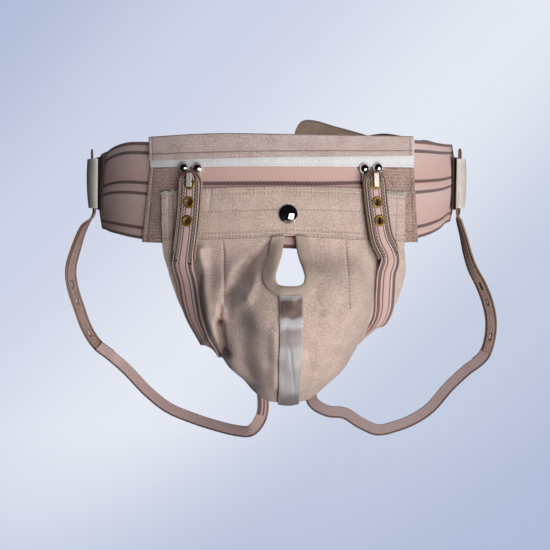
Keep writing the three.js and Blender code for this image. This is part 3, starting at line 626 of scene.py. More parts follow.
def add_node(tree, kind, inputs, **settings):
    node = tree.nodes.new(kind)
    for name, value in settings.items():
        setattr(node, name, value)
    for key, value in inputs.items():
        if isinstance(value, bpy.types.NodeSocket):
            tree.links.new(value, node.inputs[key])
        else:
            node.inputs[key].default_value = value
    return node


def calc(tree, operation, *values):
    inputs = dict(enumerate(values))
    return add_node(tree, "ShaderNodeMath", inputs, operation=operation).outputs[0]


def blend_colour(tree, share, first, second, kind="MIX"):
    inputs = {"Factor": share, 6: first, 7: second}
    settings = {"data_type": "RGBA", "blend_type": kind}
    return add_node(tree, "ShaderNodeMix", inputs, **settings).outputs[2]


def ramp(tree, value, stops, smooth="LINEAR"):
    """A colour ramp from stops of (place, colour)."""
    node = add_node(tree, "ShaderNodeValToRGB", {"Fac": value})
    node.color_ramp.interpolation = smooth
    elements = node.color_ramp.elements
    while len(elements) > 1:
        elements.remove(elements[-1])
    elements[0].position = stops[0][0]
    elements[0].color = stops[0][1]
    for place, colour in stops[1:]:
        elements.new(place).color = colour
    return node.outputs["Color"]


def split(tree, vector):
    node = add_node(tree, "ShaderNodeSeparateXYZ", {0: vector})
    return node.outputs[0], node.outputs[1]


# %% [markdown]
# ## Node groups
# A group is a small graph that is built once and used in many materials, each with values of its
# own. Copying the nodes would work too, but a change would then have to be made in every copy.

# %% Node groups
def new_group(name, inputs, outputs):
    """An empty node group with named float or vector inputs and float outputs."""
    tree = bpy.data.node_groups.new(name, "ShaderNodeTree")
    for label, value in inputs.items():
        kind = "NodeSocketVector" if value is None else "NodeSocketFloat"
        socket = tree.interface.new_socket(label, in_out="INPUT", socket_type=kind)
        if value is not None:
            socket.default_value = value
    for label in outputs:
        tree.interface.new_socket(label, in_out="OUTPUT", socket_type="NodeSocketFloat")
    return tree, tree.nodes.new("NodeGroupInput").outputs, tree.nodes.new("NodeGroupOutput").inputs


def use_group(tree, group, inputs):
    node = add_node(tree, "ShaderNodeGroup", {}, node_tree=group)
    for key, value in inputs.items():
        if isinstance(value, bpy.types.NodeSocket):
            tree.links.new(value, node.inputs[key])
        else:
            node.inputs[key].default_value = value
    return node.outputs


# %% [markdown]
# ## Shared effects
# Four effects come back in many finishes, so each is a node group. The weave gives the height of
# crossing threads, the twist gives the slanting dashes of a two-colour thread, the mottle gives
# soft uneven patches and a fine grain, and the border marks the two long edges of a strip.

# %% Shared effects
def weave_group():
    tree, given, result = new_group("weave", {"Vector": None, "Pitch": 0.001, "Slant": 1.0}, ["Height"])
    wander = add_node(tree, "ShaderNodeTexNoise", {"Vector": given["Vector"], "Scale": 420.0, "Detail": 2.0})
    x, y = split(tree, given["Vector"])
    turns = calc(tree, "DIVIDE", math.tau, given["Pitch"])
    drift = calc(tree, "MULTIPLY", wander.outputs[0], 2.6)
    slanted = calc(tree, "MULTIPLY_ADD", y, given["Slant"], x)
    first = calc(tree, "SINE", calc(tree, "MULTIPLY_ADD", slanted, turns, drift))
    second = calc(tree, "SINE", calc(tree, "MULTIPLY_ADD", y, turns, drift))
    threads = calc(tree, "MULTIPLY_ADD", second, 0.45, first)
    tree.links.new(calc(tree, "MULTIPLY_ADD", threads, 0.33, 0.5), result["Height"])
    return tree


def twist_group():
    tree, given, result = new_group("twist", {"Vector": None, "Pitch": 0.0016, "Slant": 1.0}, ["Mask"])
    x, y = split(tree, given["Vector"])
    wander = add_node(tree, "ShaderNodeTexNoise", {"Vector": given["Vector"], "Scale": 260.0, "Detail": 1.0})
    turns = calc(tree, "DIVIDE", math.tau, given["Pitch"])
    slanted = calc(tree, "MULTIPLY_ADD", y, given["Slant"], x)
    wave = calc(tree, "SINE", calc(tree, "MULTIPLY_ADD", slanted, turns, wander.outputs[0]))
    sharp = add_node(tree, "ShaderNodeMapRange", {0: wave, 1: -0.35, 2: 0.45, 3: 0.0, 4: 1.0})
    tree.links.new(sharp.outputs[0], result["Mask"])
    return tree


def mottle_group():
    tree, given, result = new_group("mottle", {"Vector": None, "Size": 0.01}, ["Patch", "Grain"])
    broad = calc(tree, "DIVIDE", 1.0, given["Size"])
    patch = add_node(tree, "ShaderNodeTexNoise", {"Vector": given["Vector"], "Scale": broad, "Detail": 3.0})
    fine = calc(tree, "DIVIDE", 8.0, given["Size"])
    grain = add_node(tree, "ShaderNodeTexNoise", {
        "Vector": given["Vector"], "Scale": fine, "Detail": 4.0, "Roughness": 0.7,
    })
    tree.links.new(patch.outputs[0], result["Patch"])
    tree.links.new(grain.outputs[0], result["Grain"])
    return tree


def border_group():
    """How near a place is to either long edge of a strip, from its share across."""
    tree, given, result = new_group("border", {"Share": 0.5, "Width": 0.1}, ["Mask"])
    away = calc(tree, "ABSOLUTE", calc(tree, "SUBTRACT", given["Share"], 0.5))
    inside = calc(tree, "SUBTRACT", 0.5, given["Width"])
    edge = add_node(tree, "ShaderNodeMapRange", {0: away, 1: inside, 2: 0.5, 3: 0.0, 4: 1.0})
    tree.links.new(edge.outputs[0], result["Mask"])
    return tree


weave = weave_group()
twist = twist_group()
mottle = mottle_group()
border = border_group()
print("shared effects:", [group.name for group in bpy.data.node_groups])

# %% [markdown]
# ## Cloth, webbing and satin
# Woven goods scatter light softly, so their roughness is high and a little sheen stands for the
# fibres that stick out. Their pattern follows the piece's own map, which is laid out in metres, so
# a thread has the same size on every piece.

# %% Starting a material
def start_material(name, roughness, sheen=0.0):
    material = bpy.data.materials.new(name)
    material.use_nodes = True
    tree = material.node_tree
    shader = tree.nodes["Principled BSDF"]
    shader.inputs["Roughness"].default_value = roughness
    shader.inputs["Sheen Weight"].default_value = sheen
    shader.inputs["Sheen Roughness"].default_value = 0.5
    shader.inputs["Specular IOR Level"].default_value = 0.25
    return material, tree, shader


def bump(tree, shader, height, strength, distance):
    node = add_node(tree, "ShaderNodeBump", {"Height": height, "Strength": strength, "Distance": distance})
    tree.links.new(node.outputs[0], shader.inputs["Normal"])


def flat_map(tree):
    """The piece's own map in metres."""
    return add_node(tree, "ShaderNodeUVMap", {}, uv_map="flat").outputs[0]


def share_map(tree):
    """Shares along and across the piece, from 0 to 1."""
    return split(tree, add_node(tree, "ShaderNodeUVMap", {}, uv_map="share").outputs[0])


# %% [markdown]
# ## Stripes and pressed seams
# Stripes are woven in along the webbing, and the shade in a stitched seam's groove is painted dark.
# Both are stops of a colour ramp that is read across the piece, which keeps them sharp at any size.

# %% Stripes and seams
WHITE = (1, 1, 1, 1)
BLACK = (0, 0, 0, 1)
PINK = srgb(206, 171, 163)
PALE_PINK = srgb(214, 188, 181)
MAROON = srgb(46, 17, 19)
BAND_ROWS = [0.035, 0.115, 0.46, 0.885, 0.965]
FLAP_HEM = 0.27
STRIPE_SOFTNESS = 0.004


def stripes(centres, width):
    """Stops of a ramp that is white in stripes of a given width."""
    stops = [(0.0, BLACK)]
    for centre in centres:
        low = centre - width / 2
        high = centre + width / 2
        if low > STRIPE_SOFTNESS:
            stops += [(low - STRIPE_SOFTNESS, BLACK), (low, WHITE)]
        else:
            stops[0] = (0.0, WHITE)
        if high < 1 - STRIPE_SOFTNESS:
            stops += [(high, WHITE), (high + STRIPE_SOFTNESS, BLACK)]
    return stops


def seam_shade_stops(seams):
    """Stops of a ramp that is white, with painted shade along seams of (place, width, level)."""
    stops = [(0.0, WHITE)]
    for place, width, level in seams:
        shade = (level, level * 0.93, level * 0.9, 1)
        stops += [(place - width, WHITE), (place - width / 3, shade), (place + width / 3, shade)]
        stops.append((place + width, WHITE))
    return [(clamp(place), colour) for place, colour in stops]


# %% [markdown]
# ## Plain cloth
# Twill and tape are one colour seen through uneven dye, the gaps between threads and short fibres.
# The weave and the mottle mix a light and a dark shade, and the same two raise the surface a little.

# %% Plain cloth
def cloth_material(
    name, light, dark, pitch=0.0016, slant=1.0, depth=0.0004, contrast=0.85, patch=0.0135,
    across_seam_shade=(), along_seam_shade=(),
):
    """Plain cloth: a weave, uneven dye, short fibres and painted shade along pressed-in seams."""
    material, tree, shader = start_material(name, 0.92, 0.12)
    place = flat_map(tree)
    threads = use_group(tree, weave, {"Vector": place, "Pitch": pitch, "Slant": slant})
    spots = use_group(tree, mottle, {"Vector": place, "Size": patch})
    shade = calc(tree, "MULTIPLY", calc(tree, "SUBTRACT", spots["Grain"], 0.5), 3.2)
    shade = calc(tree, "MULTIPLY_ADD", calc(tree, "SUBTRACT", threads["Height"], 0.5), 0.75, shade)
    shade = calc(tree, "MULTIPLY_ADD", calc(tree, "SUBTRACT", spots["Patch"], 0.5), 0.9, shade)
    shade = calc(tree, "MULTIPLY_ADD", shade, contrast, 0.62)
    mixed = blend_colour(tree, shade, dark, light)
    along, across = share_map(tree)
    if across_seam_shade:
        mixed = blend_colour(tree, 1.0, mixed, ramp(tree, across, seam_shade_stops(across_seam_shade)), "MULTIPLY")
    if along_seam_shade:
        mixed = blend_colour(tree, 1.0, mixed, ramp(tree, along, seam_shade_stops(along_seam_shade)), "MULTIPLY")
    tree.links.new(mixed, shader.inputs["Base Color"])
    height = calc(tree, "MULTIPLY_ADD", spots["Grain"], 0.8, threads["Height"])
    bump(tree, shader, height, 0.7, depth)
    return material


# %% [markdown]
# ## Elastic webbing
# The webbing has pale and pink bands with thin lines of twisted maroon thread. Under the front
# straps' zigzag stitches two columns get painted shade, up to where the stitches end.

# %% Elastic webbing
BED_SHARE = 0.405
BED_COLUMNS = [0.14, 0.86]
BED_WIDTH = 0.2
BED_SHADE = srgb(84, 62, 54)
RIB_PITCH = 0.0009


def webbing_material(name, dark, bands, lines, thread, pitch=0.0024, end_lines=None, end_from=0.85, bed=None):
    """Elastic webbing: colour bands across it, with twisted two-colour lines where lines is white."""
    material, tree, shader = start_material(name, 0.85, 0.1)
    place = flat_map(tree)
    along, across = share_map(tree)
    ground = ramp(tree, across, bands)
    line = ramp(tree, across, lines)
    if end_lines:
        late = calc(tree, "GREATER_THAN", along, end_from)
        line = blend_colour(tree, late, line, ramp(tree, across, end_lines))
    dashes = use_group(tree, twist, {"Vector": place, "Pitch": pitch, "Slant": 1.0})
    spots = use_group(tree, mottle, {"Vector": place, "Size": 0.012})
    threads = use_group(tree, weave, {"Vector": place, "Pitch": RIB_PITCH, "Slant": 0.35})
    shade = calc(tree, "MULTIPLY_ADD", spots["Grain"], 0.9, calc(tree, "MULTIPLY", threads["Height"], 0.35))
    ground = blend_colour(tree, shade, blend_colour(tree, 0.75, dark, ground), ground)
    strength = calc(tree, "MULTIPLY_ADD", dashes["Mask"], 0.5, 0.5)
    strength = calc(tree, "MULTIPLY", strength, line)
    mixed = blend_colour(tree, strength, ground, thread)
    # Painted shade between the dense zigzag threads, in two columns up to where they end.
    if bed:
        sewn = calc(tree, "LESS_THAN", along, bed)
        columns = ramp(tree, across, stripes(BED_COLUMNS, BED_WIDTH))
        mixed = blend_colour(tree, calc(tree, "MULTIPLY", sewn, columns), mixed, BED_SHADE)
    tree.links.new(mixed, shader.inputs["Base Color"])
    height = calc(tree, "MULTIPLY_ADD", spots["Grain"], 0.7, threads["Height"])
    height = calc(tree, "MULTIPLY_ADD", calc(tree, "MULTIPLY", line, dashes["Mask"]), 0.9, height)
    bump(tree, shader, height, 0.6, 0.00025)
    return material


# %% [markdown]
# ## The webbings of this belt
# The wide belt has six lines, the front straps two broad and two narrow ones, and the leg straps
# one at an edge, which turns into a pattern of several where the strap twists at its lower end.

# %% The belt's webbings
belt_webbing = webbing_material(
    "belt_webbing",
    srgb(178, 142, 134),
    [(0.0, PALE_PINK), (0.12, PINK), (0.46, PALE_PINK), (0.58, PINK), (0.9, PALE_PINK)],
    stripes([0.018, 0.12, 0.475, 0.585, 0.89, 0.982], 0.03),
    MAROON,
)
STRAP_LINES = [
    (0.0, BLACK), (0.04, BLACK), (0.05, WHITE), (0.2, WHITE), (0.21, BLACK), (0.3, BLACK),
    (0.31, WHITE), (0.36, WHITE), (0.37, BLACK), (0.63, BLACK), (0.64, WHITE), (0.69, WHITE),
    (0.7, BLACK), (0.79, BLACK), (0.8, WHITE), (0.94, WHITE), (0.95, BLACK), (1.0, BLACK),
]
LEG_END_LINES = [
    (0.0, BLACK), (0.04, BLACK), (0.06, WHITE), (0.34, WHITE), (0.36, BLACK), (0.5, BLACK),
    (0.52, WHITE), (0.62, WHITE), (0.64, BLACK), (0.8, BLACK), (0.82, WHITE), (0.9, WHITE),
    (0.92, BLACK), (1.0, BLACK),
]
strap_webbing = webbing_material(
    "strap_webbing", srgb(190, 150, 140), [(0.0, PALE_PINK), (0.3, PINK), (0.7, PALE_PINK)],
    STRAP_LINES, MAROON, bed=BED_SHARE,
)
# The right strap's webbing colour is darker than the left's: painted shade, as its face turns away from the
# key light.
leg_webbing = {
    side: webbing_material(
        f"leg_webbing_{side}", srgb(150, 122, 118), [(0.0, srgb(*colour)), (1.0, srgb(*colour))],
        stripes([centre], 0.16), srgb(58, 34, 34), end_lines=LEG_END_LINES, end_from=end_from,
    )
    for side, colour, centre, end_from in (
        ("left", (196, 168, 164), 0.91, 0.86), ("right", (156, 136, 134), 0.09, 0.985),
    )
}
print("materials:", len(bpy.data.materials))

# %% [markdown]
# ## The cloths and threads of this belt
# Every cloth is the same recipe with its own two shades, thread pitch and seams. The threads get
# materials too, because they are modelled as small raised pieces.

# %% The belt's cloths and threads
leg_strip_webbing = cloth_material("leg_strip_webbing", srgb(176, 148, 138), srgb(126, 100, 92), pitch=0.0012)
# Painted shade in the waistband's stitched rows and end hems.
BAND_SEAM_SHADE = [(1 - row, 0.013, 0.74) for row in BAND_ROWS[::-1]]
twill = cloth_material("twill", srgb(224, 202, 190), srgb(168, 142, 130))
band_twill = cloth_material(
    "band_twill", srgb(222, 200, 188), srgb(164, 140, 128), across_seam_shade=BAND_SEAM_SHADE,
    along_seam_shade=[(0.055, 0.006, 0.62), (0.957, 0.004, 0.6)],
)
# Painted shade along the flap's hem, its top edge and its stitched ends.
flap_twill = cloth_material(
    "flap_twill", srgb(216, 196, 189), srgb(158, 136, 130), pitch=0.0019, slant=0.8, contrast=1.0,
    across_seam_shade=[(FLAP_HEM, 0.03, 0.66), (0.985, 0.03, 0.55)],
    along_seam_shade=[(0.016, 0.004, 0.6), (0.984, 0.004, 0.55)],
)
# Each patch has painted shade along its stitched groove.
coarse_cloth = {
    side: cloth_material(
        f"coarse_cloth_{side}", srgb(196, 170, 157), srgb(104, 84, 74), pitch=0.0026, slant=-0.9,
        depth=0.0006, contrast=1.4, patch=0.013, along_seam_shade=[(seam, 0.02, 0.6)],
    )
    for side, seam in (("left", 0.13), ("right", 0.87))
}
facing_tape = cloth_material(
    "facing_tape", srgb(240, 240, 241), srgb(206, 206, 208), pitch=0.0009, depth=0.0002, contrast=0.7,
)
thread_pale = cloth_material("thread_pale", srgb(236, 222, 210), srgb(196, 176, 162), pitch=0.0005)
thread_grey = cloth_material("thread_grey", srgb(196, 192, 190), srgb(150, 146, 146), pitch=0.0005)
thread_dark = cloth_material("thread_dark", srgb(176, 146, 128), srgb(128, 98, 84), pitch=0.0005)
thread_white = cloth_material("thread_white", srgb(206, 200, 193), srgb(120, 110, 104), pitch=0.0005)
thread_brown = cloth_material("thread_brown", srgb(106, 76, 60), srgb(58, 38, 32), pitch=0.0005)
print("materials:", len(bpy.data.materials))

# %% [markdown]
# ## Binding tape and satin
# The keyhole's tape has slanting threads that turn back at regular rows, like a herringbone. The
# ribbon's satin is smoother than the cloths. Its crosswise bands of light and shade are painted
# sheen and painted shade, a ramp along its length for the pressed satin catching the light.

# %% Binding tape and satin
def binding_material():
    """Herringbone tape: slanting threads that turn back at every row."""
    material, tree, shader = start_material("binding_tape", 0.9, 0.1)
    place = flat_map(tree)
    _, across = share_map(tree)
    x, y = split(tree, place)
    rows = calc(tree, "PINGPONG", y, 0.0016)
    turned = add_node(tree, "ShaderNodeCombineXYZ", {0: x, 1: rows}).outputs[0]
    threads = use_group(tree, weave, {"Vector": turned, "Pitch": 0.0015, "Slant": 1.0})
    spots = use_group(tree, mottle, {"Vector": place, "Size": 0.008})
    shade = calc(tree, "MULTIPLY_ADD", spots["Grain"], 0.6, calc(tree, "MULTIPLY", threads["Height"], 0.6))
    mixed = blend_colour(tree, shade, srgb(140, 121, 108), srgb(212, 191, 175))
    tree.links.new(mixed, shader.inputs["Base Color"])
    height = calc(tree, "MULTIPLY_ADD", spots["Grain"], 0.5, threads["Height"])
    bump(tree, shader, height, 0.7, 0.0003)
    return material


def satin_material():
    """Satin ribbon: smooth long threads, a soft gloss, fine creases and painted bands of sheen and shade."""
    material, tree, shader = start_material("satin", 0.42, 0.1)
    shader.inputs["Specular IOR Level"].default_value = 0.6
    place = flat_map(tree)
    across, along = share_map(tree)
    stretched = add_node(tree, "ShaderNodeMapping", {"Vector": place, "Scale": (3.0, 0.6, 1.0)}).outputs[0]
    spots = use_group(tree, mottle, {"Vector": stretched, "Size": 0.02})
    drift = calc(tree, "MULTIPLY_ADD", calc(tree, "SUBTRACT", spots["Patch"], 0.5), 0.04, along)
    # The ramp's light and dark bands are painted sheen and painted shade along the ribbon.
    mixed = ramp(tree, drift, [
        (0.0, srgb(120, 110, 110)), (0.2, srgb(132, 122, 122)), (0.33, srgb(182, 178, 180)),
        (0.66, srgb(180, 176, 178)), (0.73, srgb(150, 139, 139)), (0.8, srgb(148, 136, 136)),
        (0.835, srgb(198, 195, 197)), (0.862, srgb(188, 183, 185)), (0.885, srgb(118, 98, 93)),
        (0.96, srgb(110, 90, 85)), (0.98, srgb(174, 167, 165)), (1.0, srgb(204, 200, 200)),
    ], "EASE")
    hem = use_group(tree, border, {"Share": across, "Width": 0.1})
    mixed = blend_colour(tree, calc(tree, "MULTIPLY", hem["Mask"], 0.55), mixed, srgb(208, 190, 178))
    tree.links.new(mixed, shader.inputs["Base Color"])
    height = calc(tree, "MULTIPLY_ADD", spots["Grain"], 0.4, calc(tree, "MULTIPLY", spots["Patch"], 2.0))
    bump(tree, shader, height, 0.5, 0.0006)
    return material


binding_tape = binding_material()
satin = satin_material()
print("made:", binding_tape.name, "and", satin.name)

# %% [markdown]
# ## Leather and metal
# Leather has fine pores, a smoother face and a lighter, worn edge. The domes and hooks are plated
# and mirror a dark studio with one bright softbox, and the brass eyelets are dulled by age.

# %% Leather and metal finishes
def leather_material(name, light, dark, edge, roughness=0.5, edge_width=0.1):
    material, tree, shader = start_material(name, roughness)
    shader.inputs["Specular IOR Level"].default_value = 0.45
    place = flat_map(tree)
    _, across = share_map(tree)
    pores = add_node(tree, "ShaderNodeTexVoronoi", {"Vector": place, "Scale": 900.0})
    spots = use_group(tree, mottle, {"Vector": place, "Size": 0.01})
    worn = use_group(tree, border, {"Share": across, "Width": edge_width})
    mixed = blend_colour(tree, calc(tree, "MULTIPLY_ADD", spots["Patch"], 1.4, -0.2), dark, light)
    wear = calc(tree, "MULTIPLY", worn["Mask"], calc(tree, "MULTIPLY_ADD", spots["Grain"], 0.8, 0.3))
    mixed = blend_colour(tree, wear, mixed, edge)
    tree.links.new(mixed, shader.inputs["Base Color"])
    rough = calc(tree, "MULTIPLY_ADD", spots["Grain"], 0.3, roughness - 0.15)
    tree.links.new(rough, shader.inputs["Roughness"])
    height = calc(tree, "MULTIPLY_ADD", spots["Grain"], 0.6, pores.outputs["Distance"])
    bump(tree, shader, height, 0.35, 0.0002)
    return material


def metal_material(name, bright, dull, roughness, scratch=0.06):
    material, tree, shader = start_material(name, roughness)
    shader.inputs["Metallic"].default_value = 1.0
    place = add_node(tree, "ShaderNodeTexCoord", {}).outputs["Object"]
    spots = use_group(tree, mottle, {"Vector": place, "Size": 0.004})
    mixed = blend_colour(tree, calc(tree, "MULTIPLY_ADD", spots["Patch"], 1.6, -0.3), dull, bright)
    tree.links.new(mixed, shader.inputs["Base Color"])
    rough = calc(tree, "MULTIPLY_ADD", spots["Grain"], scratch, roughness - scratch / 2)
    tree.links.new(rough, shader.inputs["Roughness"])
    return material


brown_leather = leather_material("brown_leather", srgb(146, 118, 98), srgb(102, 78, 62), srgb(168, 142, 122))
leg_leather = leather_material("leg_leather", srgb(124, 96, 76), srgb(78, 56, 42), srgb(150, 122, 100))
# Leather for the sleeves' base; its very dark colour is partly painted shade for the gap beside each sleeve.
dark_leather_with_gap_shade = leather_material("dark_leather_with_gap_shade", srgb(70, 46, 36), srgb(40, 24, 20), srgb(96, 68, 52))
# The tongue's tan leather is painted lighter: painted light for the little light that reaches it behind the
# belt.
tan_leather = leather_material(
    "tan_leather", srgb(196, 170, 152), srgb(162, 138, 122), srgb(96, 92, 92), edge_width=0.05,
)
pale_leather = leather_material(
    "pale_leather", srgb(222, 214, 206), srgb(196, 186, 178), srgb(232, 226, 220), roughness=0.6,
)
chrome = metal_material("chrome", (0.78, 0.8, 0.83, 1), (0.62, 0.64, 0.68, 1), 0.07)
nickel = metal_material("nickel", srgb(232, 222, 216), srgb(200, 188, 182), 0.36, 0.1)
nickel.node_tree.nodes["Principled BSDF"].inputs["Metallic"].default_value = 0.4
brass = metal_material("brass", srgb(176, 140, 66), srgb(118, 86, 34), 0.42, 0.2)
brass.node_tree.nodes["Principled BSDF"].inputs["Metallic"].default_value = 0.55
print("materials:", len(bpy.data.materials))

# %% [markdown]
# ## From a flat grid to a sewn piece
# Cloth is cut flat and then bent, so each piece starts as a flat grid and a function moves its
# points. The outer face is placed first. A Solidify modifier then gives the cloth its thickness
# inwards, and a narrow Bevel rounds the cut edges so that they catch the light.

# %% Sheet pieces
def new_piece(name, mesh, material, stands_for=()):
    """A finished mesh as a piece of the object, in metres, riding on the one body."""
    data = bpy.data.meshes.new(name)
    mesh.to_mesh(data)
    mesh.free()
    piece = bpy.data.objects.new(name, data)
    bpy.context.scene.collection.objects.link(piece)
    data.materials.append(material)
    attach(piece, "root")
    if stands_for:
        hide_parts(*stands_for)
    return piece


def grid_mesh(columns, rows, place, flat, keep=None):
    """A grid whose points go to place(u, v), with maps in shares and in metres."""
    mesh = bmesh.new()
    bmesh.ops.create_grid(mesh, x_segments=columns, y_segments=rows, size=0.5)
    shares = mesh.loops.layers.uv.new("share")
    metres = mesh.loops.layers.uv.new("flat")
    for face in mesh.faces:
        face.smooth = True
        for loop in face.loops:
            u = loop.vert.co.x + 0.5
            v = loop.vert.co.y + 0.5
            loop[shares].uv = (u, v)
            loop[metres].uv = (u * flat[0] * MM, v * flat[1] * MM)
    for vertex in mesh.verts:
        vertex.co = place(vertex.co.x + 0.5, vertex.co.y + 0.5)
    if keep:
        lost = [face for face in mesh.faces if not keep(face.calc_center_median())]
        bmesh.ops.delete(mesh, geom=lost, context="FACES")
    bmesh.ops.scale(mesh, vec=(MM, MM, MM), verts=mesh.verts)
    return mesh


def thicken(piece, thickness, edge=0.35, offset=-1.0):
    """Thickness inwards from the outer face, and softly rounded edges."""
    wall = piece.modifiers.new("thickness", "SOLIDIFY")
    wall.thickness = thickness * MM
    wall.offset = offset
    wall.use_even_offset = False
    if edge:
        soft = piece.modifiers.new("edges", "BEVEL")
        soft.width = edge * MM
        soft.segments = 2
        soft.limit_method = "ANGLE"
        soft.angle_limit = math.radians(55)


def ripple(point, size, amount):
    """A soft unevenness of cloth, in millimetres."""
    return noise.noise(point / size) * amount


def layer(name, start, end, edges, face, flat, material, columns, rows, relief=None, keep=None):
    """A flat layer of the front panel between two angles, with its outer face at a given offset."""
    def place(u, v):
        angle = lerp(start, end, u)
        top, bottom = edges(u)
        height = lerp(bottom, top, v)
        lift = relief(u, v) if relief else 0.0
        return on_belt(angle, height, face + lift)

    mesh = grid_mesh(columns, rows, place, flat, keep)
    return new_piece(f"{name}_cloth", mesh, material, (name,))


# %% [markdown]
# ## Threads
# Each stitch is a short raised thread, a stretched icosphere that lies on the cloth. A row walks
# along a path, and a zigzag row swings from side to side.

# %% Stitches
def add_thread(mesh, start, end, out, width):
    along = end - start
    half = along.length / 2
    if half < 1e-6:
        return
    along = along.normalized()
    side = out.cross(along).normalized()
    up = along.cross(side)
    turned = Matrix((along * half, side * width / 2, up * width / 2)).transposed().to_4x4()
    place = Matrix.Translation((start + end) / 2) @ turned
    bmesh.ops.create_icosphere(mesh, subdivisions=1, radius=1.0, matrix=place)


def stitch_row(mesh, spot, length, pitch=2.4, thread=0.45, gap=0.3, swing=0.0):
    """Stitches along spot(share, sideways), which gives a place and the way out of the cloth."""
    count = max(round(length / pitch), 1)
    for i in range(count):
        low = (i + gap / 2) / count
        high = (i + 1 - gap / 2) / count
        side = swing if i % 2 else -swing
        start, out = spot(low, -side)
        end, _ = spot(high, side)
        add_thread(mesh, start, end, out, thread)


def thread_piece(name, mesh, material):
    for face in mesh.faces:
        face.smooth = True
    bmesh.ops.scale(mesh, vec=(MM, MM, MM), verts=mesh.verts)
    mesh.loops.layers.uv.new("flat")
    return new_piece(name, mesh, material)


def belt_path(start, end, height, lift):
    """A path on the panel: angles from start to end, height(u) and a lift off the loop."""
    def spot(share, sideways):
        angle = lerp(start, end, share)
        point = on_belt(angle, height(share) + sideways, lift)
        return point, loop_normal(angle)
    return spot


# %% [markdown]
# ## The waist belt
# One strip of elastic webbing goes round the loop and overlaps at the back. Its edges lean in a
# little where it rounds the sides, and its two ends are cut straight.

# %% Waist belt
BELT_LEFT_END = -201
BELT_RIGHT_END = 147
BELT_EDGES = table(
    "angle top bottom lean",
    (-201, 0.74, -0.25, 0),
    (-180, 0.71, -0.28, 0),
    (-150, 0.66, -0.32, 0),
    (-120, 0.57, -0.38, 0.01),
    (-95, 0.46, -0.41, 0.03),
    (-71, 0.375, -0.41, 0.03),
    (-63, 0.44, -0.43, 0.02),
    (-56, 0.485, -0.445, 0.01),
    (-48, 0.51, -0.47, 0),
    (-36, 0.5, -0.5, 0),
    (0, 0.535, -0.545, 0),
    (12, 0.54, -0.56, 0),
    (36, 0.525, -0.49, 0),
    (47, 0.524, -0.472, 0),
    (60, 0.512, -0.404, 0.03),
    (70, 0.515, -0.34, 0.05),
    (95, 0.55, -0.33, 0.03),
    (106, 0.578, -0.32, 0.02),
    (116, 0.63, -0.31, 0.01),
    (121, 0.635, -0.3, 0.01),
    (131, 0.71, -0.27, 0),
    (138, 0.74, -0.25, 0),
    (147, 0.71, -0.25, 0),
)
BELT_LENGTH = loop_length(BELT_LEFT_END, BELT_RIGHT_END, 200)


def belt_place(u, v):
    angle = lerp(BELT_LEFT_END, BELT_RIGHT_END, u)
    bottom = read(BELT_EDGES, "angle", "bottom", angle)
    top = read(BELT_EDGES, "angle", "top", angle)
    lean = read(BELT_EDGES, "angle", "lean", angle) * BELT_WIDTH * (2 * v - 1) ** 2
    point = on_belt(angle, lerp(bottom, top, v) * BELT_WIDTH, BELT_FACE - lean)
    return point + loop_normal(angle) * ripple(point, 24, 0.25)


belt = new_piece(
    "waist_webbing",
    grid_mesh(360, 36, belt_place, (BELT_LENGTH, BELT_WIDTH)),
    belt_webbing, ("waist_belt",),
)
thicken(belt, BELT_THICKNESS - 0.3)
print("belt length:", round(BELT_LENGTH), "mm")

# %% [markdown]
# ## The front panel
# Five layers lie on the belt's front: two coarse cloth patches and a white tape, then the top flap
# and the pouch's waistband. Hems are a little thicker than single cloth, so the relief functions
# raise the turned edges and press in the stitched lines.

# %% Patches and white facing
FACING_LEFT = -38.7
FACING_RIGHT = 43.1
PATCHES = [
    {"side": "left", "inner": -23.6, "outer_top": -38.7, "outer_bottom": -42.6},
    {"side": "right", "inner": 31.2, "outer_top": 43.1, "outer_bottom": 45.6},
]


def groove(value, centre, width, depth):
    """A pressed-in line at a given place."""
    return -depth * math.exp(-((value - centre) / width) ** 2)


def patch_piece(row):
    side = row["side"]
    top = FACING_BOTTOM - CLEARANCE
    width = abs(loop_length(row["inner"], row["outer_bottom"]))
    height = top + PATCH_DROP

    def place(u, v):
        outer = lerp(row["outer_bottom"], row["outer_top"], v)
        if side == "left":
            angle = lerp(outer, row["inner"], u)
        else:
            angle = lerp(row["inner"], outer, u)
        point = on_belt(angle, lerp(-PATCH_DROP, top, v), UNDERLAY_FROM + UNDERLAY_THICKNESS)
        from_edge = (u if side == "left" else 1 - u) * width
        relief = 0.25 * (1 - smoothstep(from_edge, 3.6, 4.2)) + groove(from_edge, 4.2, 0.5, 0.35)
        return point + loop_normal(angle) * (relief + ripple(point, 9, 0.25))

    mesh = grid_mesh(70, 90, place, (width, height))
    piece = new_piece(f"patch_cloth_{side}", mesh, coarse_cloth[side], (f"patch_{side}",))
    thicken(piece, UNDERLAY_THICKNESS - 0.2)


for row in PATCHES:
    patch_piece(row)


def facing_edges(u):
    return FACING_TOP, FACING_BOTTOM


facing_length = loop_length(FACING_LEFT, FACING_RIGHT)
facing_face = UNDERLAY_FROM + UNDERLAY_THICKNESS
facing_height = FACING_TOP - FACING_BOTTOM
facing = layer(
    "white_facing", FACING_LEFT, FACING_RIGHT, facing_edges, facing_face,
    (facing_length, facing_height), facing_tape, 240, 20,
    relief=lambda u, v: 0.12 * math.sin(u * 21) * v,
)
thicken(facing, UNDERLAY_THICKNESS - 0.2)
print("white facing:", round(facing_length), "mm long")

# %% [markdown]
# ## Top flap
# The flap is a folded strip of twill with a stitched hem along its lower edge and at both ends.
# A hem is a second layer of cloth, so the relief lifts it and presses a groove beside it.

# %% Top flap
FLAP_LEFT = -38.5
FLAP_RIGHT = 42
FLAP_EDGES = table(
    "along top bottom",
    (0, 0.968, 0.555),
    (0.27, 1, 0.57),
    (0.53, 0.978, 0.596),
    (0.77, 0.972, 0.613),
    (1, 0.985, 0.643),
)


